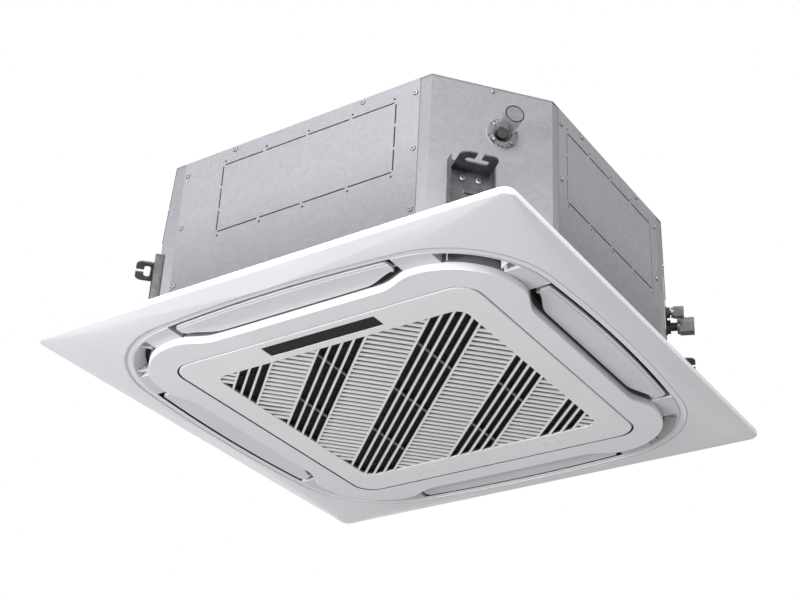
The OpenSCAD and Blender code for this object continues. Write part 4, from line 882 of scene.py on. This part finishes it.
@dataclass
class FacePlate:
    """One of the casing's long plates, with a stamped knock-out for a branch duct.

    Its outer size is the CAD plate's. Places on it run along the plate, in from its outer face, and
    up from the ceiling.
    """

    side: Side
    knock_middle: float
    knock_width: float
    knock_low: float = 136.0
    knock_height: float = 138.0
    slits_along: int = 4
    slits_up: int = 3
    slit: float = 2.8
    bridge: float = 6.0  # sheet left between two slits
    pilot: float = 2.2  # radius of a pilot hole
    pilot_out: float = 8.0  # from the slits out to the pilot holes
    pilot_sides: int = 12
    cut_depth: Span = (-3.0, 5.0)  # through the sheet, with room on both sides
    shade_pad_margin: float = 12.0  # pad beyond the pilot holes
    shade_pad_depth: Span = (1.5, 2.5)
    shade_pad_edge: float = 0.4

    def corners(self) -> list[Vector]:
        """Gives the CAD plate's lowest and highest corners, in millimetres."""
        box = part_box(f"casing_{self.side.value}")
        return [Vector([round(size / MM, 3) for size in corner]) for corner in box]

    def spot(self, along: float, depth: float, up: float) -> Spot:
        """Turns a place on the plate into one in the frame.

        Args:
            along: How far along the plate, in millimetres.
            depth: How far in from its outer face, in millimetres.
            up: How far above the ceiling, in millimetres.

        Returns:
            The place in the frame, in millimetres.
        """
        low, high = self.corners()
        if self.side is Side.FRONT:
            return along, low.y + depth, up
        return high.x - depth, along, up

    def slab(self, along: Span, depth: Span, up: Span) -> Piece:
        """Adds a box on the plate.

        Args:
            along: From where to where it runs along the plate.
            depth: From where to where it runs inwards.
            up: From where to where it runs upwards.

        Returns:
            The box.
        """
        ends = zip(*(self.spot(*corner) for corner in zip(along, depth, up)))
        low, high = zip(*(sorted(pair) for pair in ends))
        return block(low, high)

    def cutters(self) -> Piece:
        """Makes the slits and the pilot holes.

        Returns:
            All of them as one piece.
        """
        left = self.knock_middle - self.knock_width / 2
        right = left + self.knock_width
        top = self.knock_low + self.knock_height
        run, rise = self.knock_width / self.slits_along, self.knock_height / self.slits_up
        half, gap = self.slit / 2, self.bridge / 2
        made = []
        for up in (self.knock_low, top):
            for start in (left + k * run for k in range(self.slits_along)):
                made.append(self.slab((start + gap, start + run - gap), self.cut_depth,
                                      (up - half, up + half)))
        for along in (left, right):
            for start in (self.knock_low + k * rise for k in range(self.slits_up)):
                made.append(self.slab((along - half, along + half), self.cut_depth,
                                      (start + gap, start + rise - gap)))
        out, into = self.cut_depth
        quarter = math.radians(90)
        turn = (quarter, 0, 0) if self.side is Side.FRONT else (0, quarter, 0)
        for up in (self.knock_low - self.pilot_out, top + self.pilot_out):
            for k in range(self.slits_along + 1):
                along = left + k * run + (gap if k < self.slits_along else -gap)
                made.append(disc(self.pilot, into - out, self.pilot_sides,
                                 self.spot(along, (out + into) / 2, up), turn))
        return joined("cutters", made)

    def build(self) -> None:
        """Stamps the plate and hangs a black pad behind its knock-out, as painted shade seen
        through the slits.
        """
        plate = block(*self.corners())
        plate.name = f"casing_{self.side.value}_plate"
        cut_out(plate, self.cutters())
        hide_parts(f"casing_{self.side.value}")
        place(plate, CASING_ZINC, "unit", "galvanised_steel")
        # Painted shade: a black pad behind the knock-out, so that its slits look dark
        margin = self.pilot_out + self.shade_pad_margin
        reach = self.knock_width / 2 + margin
        painted_shade = self.slab((self.knock_middle - reach, self.knock_middle + reach), self.shade_pad_depth,
                         (self.knock_low - margin, self.knock_low + self.knock_height + margin))
        painted_shade.name = f"shade_pad_{self.side.value}"
        eased(painted_shade, self.shade_pad_edge)
        place(painted_shade, SLIT_SHADE, "unit", "black_rubber")


@dataclass
class HangerBracket:
    """A pressed bracket on one of the casing's chamfers: a channel, and a slotted plate with horns.

    Start and end are the ends of its chamfer, and rod is where the hanger rod goes through it.
    """

    node: str
    start: Span
    end: Span
    rod: Span
    lift: float = 128.0  # from the ceiling up to the plate's underside
    sheet: float = 1.2  # how far the corner plates lie inside the casing's outline
    half: float = 38.0  # half the channel's width
    wall: float = 2.0
    down: float = 74.0  # how far the channel goes below the plate's underside
    up: float = 18.0  # and how far above it
    lip: float = 16.0  # depth of the channel's sides
    plate_half: float = 32.5
    plate_wall: float = 3.0
    margin: float = 20.0  # plate beyond the rod
    horn_round: float = 13.0
    slot_half: float = 19.5
    slot_width: float = 11.0
    slot_round: float = 5.2
    round_steps: int = 6
    overrun: float = 5.0  # how far a cutter reaches past what it cuts
    lance_half: Span = (11.0, 6.0)  # half the opening that the tongue is pressed out of
    lance_z: float = -36.0
    lance_gap: float = 1.5
    tongue_depth: Span = (1.0, 3.2)
    edge_round: float = 0.5
    edge_angle: float = 50.0

    def rounded(self, piece: Piece, radius: float, beyond: float) -> Piece:
        """Rounds a box's upright edges that lie further out than a given place.

        Args:
            piece: The box.
            radius: The rounding's radius in millimetres.
            beyond: How far out an edge has to lie, in millimetres.

        Returns:
            The same box.
        """
        with chosen(piece, Elements.EDGES, lambda edge: edge.verts[0].co.y > beyond * MM
                    and abs(edge.verts[0].co.z - edge.verts[1].co.z) > UPRIGHT):
            bpy.ops.mesh.bevel(offset=radius * MM, segments=self.round_steps)
        return piece

    def model(self, reach: float) -> Piece:
        """Models the bracket with X along the chamfer, Y outwards and its plate's underside at 0.

        Args:
            reach: How far the rod is from the bracket's back, in millimetres.

        Returns:
            The bracket.
        """
        tip, slot_wall = reach + self.margin, self.slot_width / 2
        under, over = -self.overrun, self.plate_wall + self.overrun
        plate = self.rounded(
            block((-self.plate_half, 0, 0), (self.plate_half, tip, self.plate_wall)),
            self.horn_round, reach)
        slot = block((-self.slot_half, reach - slot_wall, under),
                     (self.slot_half, reach + slot_wall, over))
        cut_out(plate, self.rounded(slot, self.slot_round, 0))
        cut_out(plate, block((-slot_wall, reach, under), (slot_wall, tip + self.overrun, over)))
        back = block((-self.half, 0, -self.down), (self.half, self.wall, self.up))
        wide, tall = self.lance_half
        low, high = self.lance_z - tall, self.lance_z + tall
        cut_out(back, block((-wide, -self.overrun, low), (wide, self.wall + self.overrun, high)))
        sides = [block((x, 0, -self.down), (x + self.wall, self.lip, self.up))
                 for x in (-self.half, self.half - self.wall)]
        rooted, stands = self.tongue_depth
        tongue = block((-wide + self.lance_gap, rooted, low + self.lance_gap),
                       (wide - self.lance_gap, stands, high))
        bracket = joined(f"{self.node}_pressing", [back, plate, *sides, tongue])
        eased(bracket, self.edge_round, angle=self.edge_angle)
        return bracket

    def build(self) -> None:
        """Models the bracket and screws it to its chamfer."""
        start, rod = Vector(self.start), Vector(self.rod)
        along = (Vector(self.end) - start).normalized()
        out = Vector((along.y, -along.x))
        foot = (start + along * (rod - start).dot(along) - out * self.sheet) * MM
        bracket = self.model((rod - start).dot(out) + self.sheet)
        bracket.data.transform(Matrix(((-along.x, out.x, 0, foot.x), (-along.y, out.y, 0, foot.y),
                                       (0, 0, 1, self.lift * MM), (0, 0, 0, 1))))
        flattened(bracket)
        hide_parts(self.node)
        place(bracket, BRACKET_STEEL, "unit", "bracket_steel")


@dataclass
class ScrewHeads:
    """Pan-head screws: one head modelled, then copied to each of a CAD node's screws."""

    node: str
    head: float
    body: str = "unit"
    height: float = 2.2
    sides: int = 20
    crown: float = 0.9  # rounding of the head's top edge
    crown_steps: int = 3
    cross_shares: Span = (0.62, 0.15)  # half-length and half-width of its bars, of the radius
    cross_depth: float = 0.3
    cross_proud: float = 0.02
    shade_ring_out: float = 0.9  # ring of painted shade beyond the head
    shade_ring_wall: float = 0.25
    shade_ring_lift: float = 0.1  # from the head's foot up to the shade ring's middle
    smooth_below: float = 40.0

    def model(self) -> Piece:
        """Models one head with its top at height 0: a dark ring of painted shade under it, the
        crowned head, and a dark cross of painted shade in its recess.

        Returns:
            The head.
        """
        crown = disc(self.head, self.height, self.sides, (0, 0, -self.height / 2))
        with chosen(crown, Elements.EDGES, lambda edge: all(
                abs(vert.co.z) < SAME_PLACE for vert in edge.verts)):
            bpy.ops.mesh.bevel(offset=self.crown * MM, segments=self.crown_steps)
        crown.data.materials.append(SCREW_ZINC.material())
        long, wide = (share * self.head for share in self.cross_shares)
        # Painted shade: a dark cross in the recess and a dark ring round the head's foot
        dark = [block((-x, -y, -self.cross_depth), (x, y, self.cross_proud))
                for x, y in ((long, wide), (wide, long))]
        dark.append(disc(self.head + self.shade_ring_out, self.shade_ring_wall, self.sides,
                         (0, 0, self.shade_ring_lift - self.height)))
        for part in dark:
            part.data.materials.append(RECESS_SHADE.material())
        return joined(f"{self.node}_head", [crown, *dark])

    def shanks(self) -> list[np.ndarray]:
        """Finds the node's separate screws.

        Returns:
            Each screw's points, one in a row.
        """
        mesh = bmesh.new()
        mesh.from_mesh(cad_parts[self.node].data)
        bmesh.ops.remove_doubles(mesh, verts=mesh.verts, dist=SAME_PLACE)
        left, found = set(mesh.verts), []
        while left:
            pile, island = [min(left, key=lambda vert: vert.index)], set()
            while pile:
                vert = pile.pop()
                if vert not in island:
                    island.add(vert)
                    pile.extend(edge.other_vert(vert) for edge in vert.link_edges)
            left -= island
            found.append(np.array([vert.co for vert in sorted(island, key=lambda v: v.index)]))
        mesh.free()
        return found

    def site(self, spots: np.ndarray) -> Matrix:
        """Finds where a screw's head is and which way it faces.

        Args:
            spots: The screw's points, one in a row.

        Returns:
            What takes the modelled head there.
        """
        centre = spots.mean(0)
        _, sizes, axes = np.linalg.svd(spots - centre, full_matrices=False)
        axis = axes[0] if sizes[0] - sizes[1] > sizes[1] - sizes[2] else axes[2]
        along = (spots - centre) @ axis
        out = np.linalg.norm(spots - centre - np.outer(along, axis), axis=1)
        middle = (along.max() + along.min()) / 2
        if out[along > middle].max() < out[along < middle].max():
            axis, along = -axis, -along
        return facing(Vector(axis), Vector(centre + axis * along.max()))

    def build(self) -> None:
        """Puts a head on each screw."""
        first = self.model()
        copies = []
        for spots in self.shanks():
            copies.append(copied(first, "head"))
            copies[-1].data.transform(self.site(spots))
        bpy.data.objects.remove(first, do_unlink=True)
        piece = joined(f"{self.node}_heads", copies)
        pick(piece)
        bpy.ops.object.shade_smooth_by_angle(angle=math.radians(self.smooth_below))
        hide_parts(self.node)
        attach(piece, self.body)
        LOG.info("%s: %d heads", piece.name, len(copies))


@dataclass
class DrainMouth:
    """The black rubber cup at the foot of the clear drain spigot."""

    radius: float = 10.0
    depth: float = 3.0
    sides: int = 32
    wall: float = 2.5
    hollow: float = 2.0
    out: float = 3.0  # from the gasket's middle out to the cup's

    def build(self) -> None:
        """Models the cup and puts it in the gasket, facing out of the casing's corner."""
        low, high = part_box("drain_gasket")
        foot = (low + high) / 2
        outward = Vector((1, -1, 0)).normalized()
        cup = disc(self.radius, self.depth, self.sides)
        with chosen(cup, Elements.FACES, lambda face: face.normal.z > UPWARDS):
            bpy.ops.mesh.inset(thickness=self.wall * MM)
            bpy.ops.transform.translate(value=(0, 0, -self.hollow * MM))
        cup.data.transform(facing(outward, foot + outward * self.out * MM))
        cup.name = "drain_mouth"
        place(cup, RUBBER, "unit", "black_rubber")


@dataclass
class Casing:
    """The galvanised casing with its corner plates, brackets, drain spigot and pipes."""

    plates: list[FacePlate] = field(default_factory=lambda: [
        FacePlate(Side.FRONT, 51.0, 360.0),
        FacePlate(Side.RIGHT, -51.5, 320.0),
    ])
    screws: list[ScrewHeads] = field(default_factory=lambda: [
        ScrewHeads("casing_screws", 4.0),
        ScrewHeads("hanger_screws", 5.0),
        ScrewHeads("drain_screws", 3.2),
    ])
    brackets: list[HangerBracket] = field(default_factory=lambda: [
        HangerBracket("hanger_drain", (299, -423), (433, -261), (368, -390)),
        HangerBracket("hanger_pipe", (433, 158), (321, 423), (368, 390)),
        HangerBracket("hanger_back", (-241, 423), (-433, 241), (-312, 390)),
        HangerBracket("hanger_left", (-433, -241), (-241, -423), (-312, -390)),
    ])
    mouth: DrainMouth = field(default_factory=DrainMouth)
    nuts: tuple[str, ...] = ("gas_nut", "liquid_nut")
    nut_edge: float = 1.2
    finishes: dict[Finish, tuple[str, ...]] = field(default_factory=lambda: {
        CASING_ZINC: ("casing_top_plate", "casing_rear", "casing_left", "pipe_plate"),
        CORNER_ZINC: ("corner_drain", "corner_pipe", "corner_back", "corner_left"),
        TUBE: ("drain_spigot",),
        SILICONE: ("drain_gasket",),
        RUBBER: ("pipe_seal",),
        BRAZED_COPPER: ("gas_pipe", "liquid_pipe"),
    })

    def build(self) -> None:
        """Makes the casing's new pieces, and dresses the sheet metal and what is fixed to it."""
        for part in (*self.plates, *self.screws, *self.brackets):
            part.build()
        for nut in self.nuts:
            place(softened(nut, f"{nut}_turned", self.nut_edge), NUT_PLATE, "unit", "flare_nut")
        for finish, nodes in self.finishes.items():
            dress(finish, *nodes)
        self.mouth.build()


@dataclass
class AirPath:
    """What is inside the casing: insulation, pan, coil, bell mouth, fan, pump and control box."""

    finishes: dict[Finish, tuple[str, ...]] = field(default_factory=lambda: {
        FOAM: ("insulation",),
        GREY_FOAM: ("drain_pan",),
        FINS: ("coil_fins",),
        CASING_ZINC: ("coil_end_plates", "control_box", "control_cover"),
        COPPER: ("coil_bends",),
        PALE_PP: ("drain_pump", "float_stem", "float_ring"),
        MOTOR_PAINT: ("fan_motor",),
        RUBBER: ("motor_feet", "pump_hose", "panel_seal"),
        # The fan and the bell mouth take dark grey as painted shade for the dim inside of the unit
        FAN_ABS: ("turbo_fan", "pump_impeller", "bell_mouth"),
        SCREW_ZINC: ("fan_shaft", "panel_screws", "hinge_pins"),
    })

    def build(self) -> None:
        """Dresses the inner nodes."""
        for finish, nodes in self.finishes.items():
            dress(finish, *nodes)


@dataclass
class CeilingPanel:
    """The white panel: outer moulding, intake frame, corner covers and louvres."""

    panel_edge: float = 0.6
    frame_edge: float = 2.2
    frame_steps: int = 4
    cover_edge: float = 0.8
    louvre_edge: float = 1.0
    opening: float = 330.0  # inside this, the intake frame's edges stay sharp
    covers: tuple[str, ...] = ("cover_drain", "cover_pipe", "cover_back", "cover_left")
    louvres: tuple[str, ...] = ("louvre_front", "louvre_right", "louvre_rear", "louvre_left")

    def build(self) -> None:
        """Rounds and dresses the panel's mouldings."""
        place(softened("panel_frame", "panel_moulding", self.panel_edge), DUCT_ABS, "unit",
              "white_panel")
        place(softened("intake_frame", "intake_moulding", self.frame_edge, self.frame_steps,
                       outside=self.opening), FRAME_ABS, "unit", "white_panel")
        for cover in self.covers:
            place(softened(cover, f"{cover}_moulding", self.cover_edge), COVER_ABS, "unit",
                  "white_panel")
        for louvre in self.louvres:
            place(softened(louvre, f"{louvre}_moulding", self.louvre_edge), LOUVRE_ABS, louvre,
                  "white_panel")
        dress(PALE_PP, "louvre_motors")


@dataclass
class GrilleDoor:
    """The hinged grille door with its display strip, filter and push latches."""

    door_edge: float = 0.4
    door_angle: float = 45.0
    latch_edge: float = 0.5
    display_edge: float = 0.4
    net_half: Span = (262.0, 248.0)
    net_z: float = -19.7
    net_pitch: float = 3.2
    thread: float = 1.5  # width of a thread
    thread_height: float = 0.9
    thread_edge: float = 0.225
    weave: float = 0.225  # how far each set of threads lies above or below the net's middle

    def threads(self, across: bool) -> Piece:
        """Models one thread of the net and repeats it over the filter.

        Args:
            across: Whether the threads run along X.

        Returns:
            All threads of that direction as one piece.
        """
        x, y = self.net_half
        over = y if across else x
        end = (x, self.thread - y) if across else (self.thread - x, y)
        middle = self.net_z + (self.weave if across else -self.weave)
        thread = block((-x, -y, middle - self.thread_height / 2),
                       (*end, middle + self.thread_height / 2))
        eased(thread, self.thread_edge, 1)
        repeat = thread.modifiers.new("rows", "ARRAY")
        repeat.use_relative_offset = False
        repeat.use_constant_offset = True
        step = self.net_pitch * MM
        repeat.constant_offset_displace = (0, step, 0) if across else (step, 0, 0)
        repeat.count = int(2 * over / self.net_pitch)
        apply_modifiers(thread)
        return thread

    def build(self) -> None:
        """Dresses the door and what it carries, and stretches the net over the filter's frame."""
        place(softened("grille_door", "grille_moulding", self.door_edge, angle=self.door_angle),
              GRILLE_ABS, "door", "white_panel")
        for side in ("left", "right"):
            place(softened(f"latch_{side}", f"latch_{side}_button", self.latch_edge), BUTTON_ABS,
                  f"latch_{side}", "white_panel")
        place(softened("display_module", "display_window", self.display_edge), DISPLAY_ACRYLIC,
              "door", "display_black")
        dress(BLACK_PP, "filter")
        # The filter's real net, drawn black as painted shade for the inside seen through the grille
        net = joined("filter_net", [self.threads(True), self.threads(False)])
        place(net, NET_NYLON, "door", "dark_plastic")


@dataclass
class Lamp:
    """One soft area lamp, aimed at the unit, in metres and watts."""

    name: str
    spot: Spot
    size: float
    power: float

    def build(self) -> None:
        """Hangs the lamp and turns it towards the panel's middle."""
        data = bpy.data.lights.new(self.name, "AREA")
        data.shape = "DISK"
        data.size = self.size
        data.energy = self.power
        lamp = bpy.data.objects.new(self.name, data)
        lamp.location = self.spot
        lamp.rotation_mode = "QUATERNION"
        lamp.rotation_quaternion = (-Vector(self.spot)).to_track_quat("-Z", "Y")
        bpy.context.scene.collection.objects.link(lamp)


@dataclass
class Studio:
    """Camera, floor, pale surroundings and soft lamps, in metres and, for the lens, millimetres."""

    eye: Spot = (1.4024, -2.0844, -1.2758)
    ahead: Spot = (-0.49083, 0.71259, 0.50130)
    down: Spot = (-0.24328, 0.44040, -0.86421)
    lens: float = 69.87
    sensor: float = 36.0
    view_end: float = 60.0
    floor_z: float = -4.2
    floor_size: float = 40.0
    floor_grey: str = "F2F2F2"
    floor_glow: float = 0.8  # share of plain white that the camera sees on the floor
    white: str = "FFFFFF"
    room_light: float = 0.27
    lamps: list[Lamp] = field(default_factory=lambda: [
        Lamp("key_front", (-1.1, -3.4, -0.95), 1.6, 180.0),
        Lamp("casing_soft", (2.2, -2.6, 0.6), 1.6, 142.0),
        Lamp("top_soft", (-0.6, -1.2, 3.2), 2.4, 60.0),
        Lamp("rear_fill", (-2.6, 3.0, 0.9), 2.2, 80.0),
    ])

    def camera(self) -> None:
        """Puts the camera where the photograph was taken from."""
        ahead = Vector(self.ahead).normalized()
        right = ahead.cross(-Vector(self.down)).normalized()
        turn = Matrix((right, right.cross(ahead), -ahead)).transposed()
        data = bpy.data.cameras.new("camera")
        data.lens = self.lens
        data.sensor_width = self.sensor
        data.clip_end = self.view_end
        camera = bpy.data.objects.new("camera", data)
        camera.matrix_world = Matrix.Translation(self.eye) @ turn.to_4x4()
        bpy.context.scene.collection.objects.link(camera)
        bpy.context.scene.camera = camera

    def floor(self) -> None:
        """Lays the matt floor of the room far below the unit, made paler for the camera alone."""
        deselect()
        bpy.ops.mesh.primitive_plane_add(size=self.floor_size, location=(0, 0, self.floor_z))
        floor = bpy.context.object
        floor.name = "floor"
        material = bpy.data.materials.new("pale_floor")
        tree = bare_tree(material)
        matt = add_node(tree, "ShaderNodeBsdfPrincipled",
                        {"Base Color": tone(self.floor_grey), "Roughness": 0.9})
        bright = add_node(tree, "ShaderNodeEmission",
                          {"Color": tone(self.white), "Strength": 1.0})
        path = add_node(tree, "ShaderNodeLightPath")
        share = add_node(tree, "ShaderNodeMath", {"operation": "MULTIPLY", 1: self.floor_glow},
                         {0: path.outputs["Is Camera Ray"]})
        mixed = add_node(tree, "ShaderNodeMixShader", links={
            0: share.outputs[0], 1: matt.outputs["BSDF"], 2: bright.outputs["Emission"]})
        add_node(tree, "ShaderNodeOutputMaterial", links={"Surface": mixed.outputs["Shader"]})
        floor.data.materials.append(material)

    def surroundings(self) -> None:
        """Gives an even pale light, and white to the camera, to gloss and through the tube."""
        world = bpy.data.worlds.new("studio")
        bpy.context.scene.world = world
        tree = bare_tree(world)
        path = add_node(tree, "ShaderNodeLightPath")
        either = add_node(tree, "ShaderNodeMath", {"operation": "MAXIMUM"},
                          {0: path.outputs["Is Camera Ray"], 1: path.outputs["Is Glossy Ray"]})
        seen = add_node(tree, "ShaderNodeMath", {"operation": "MAXIMUM"},
                        {0: either.outputs[0], 1: path.outputs["Is Transmission Ray"]})
        light, white = [add_node(tree, "ShaderNodeBackground",
                                 {"Color": tone(self.white), "Strength": strength})
                        for strength in (self.room_light, 1.0)]
        mixed = add_node(tree, "ShaderNodeMixShader", links={
            0: seen.outputs[0], 1: light.outputs[0], 2: white.outputs[0]})
        add_node(tree, "ShaderNodeOutputWorld", links={"Surface": mixed.outputs[0]})

    def build(self) -> None:
        """Sets up the whole studio."""
        bpy.context.scene.view_settings.view_transform = "Standard"
        self.camera()
        self.floor()
        self.surroundings()
        for lamp in self.lamps:
            lamp.build()


def main() -> None:
    """Builds the studio and each sub-assembly in order."""
    logging.basicConfig(level=logging.INFO, format="%(message)s")
    for part in (Studio(), Casing(), AirPath(), CeilingPanel(), GrilleDoor()):
        part.build()
        LOG.info("%s built", type(part).__name__)


if __name__ == "__main__":
    main()
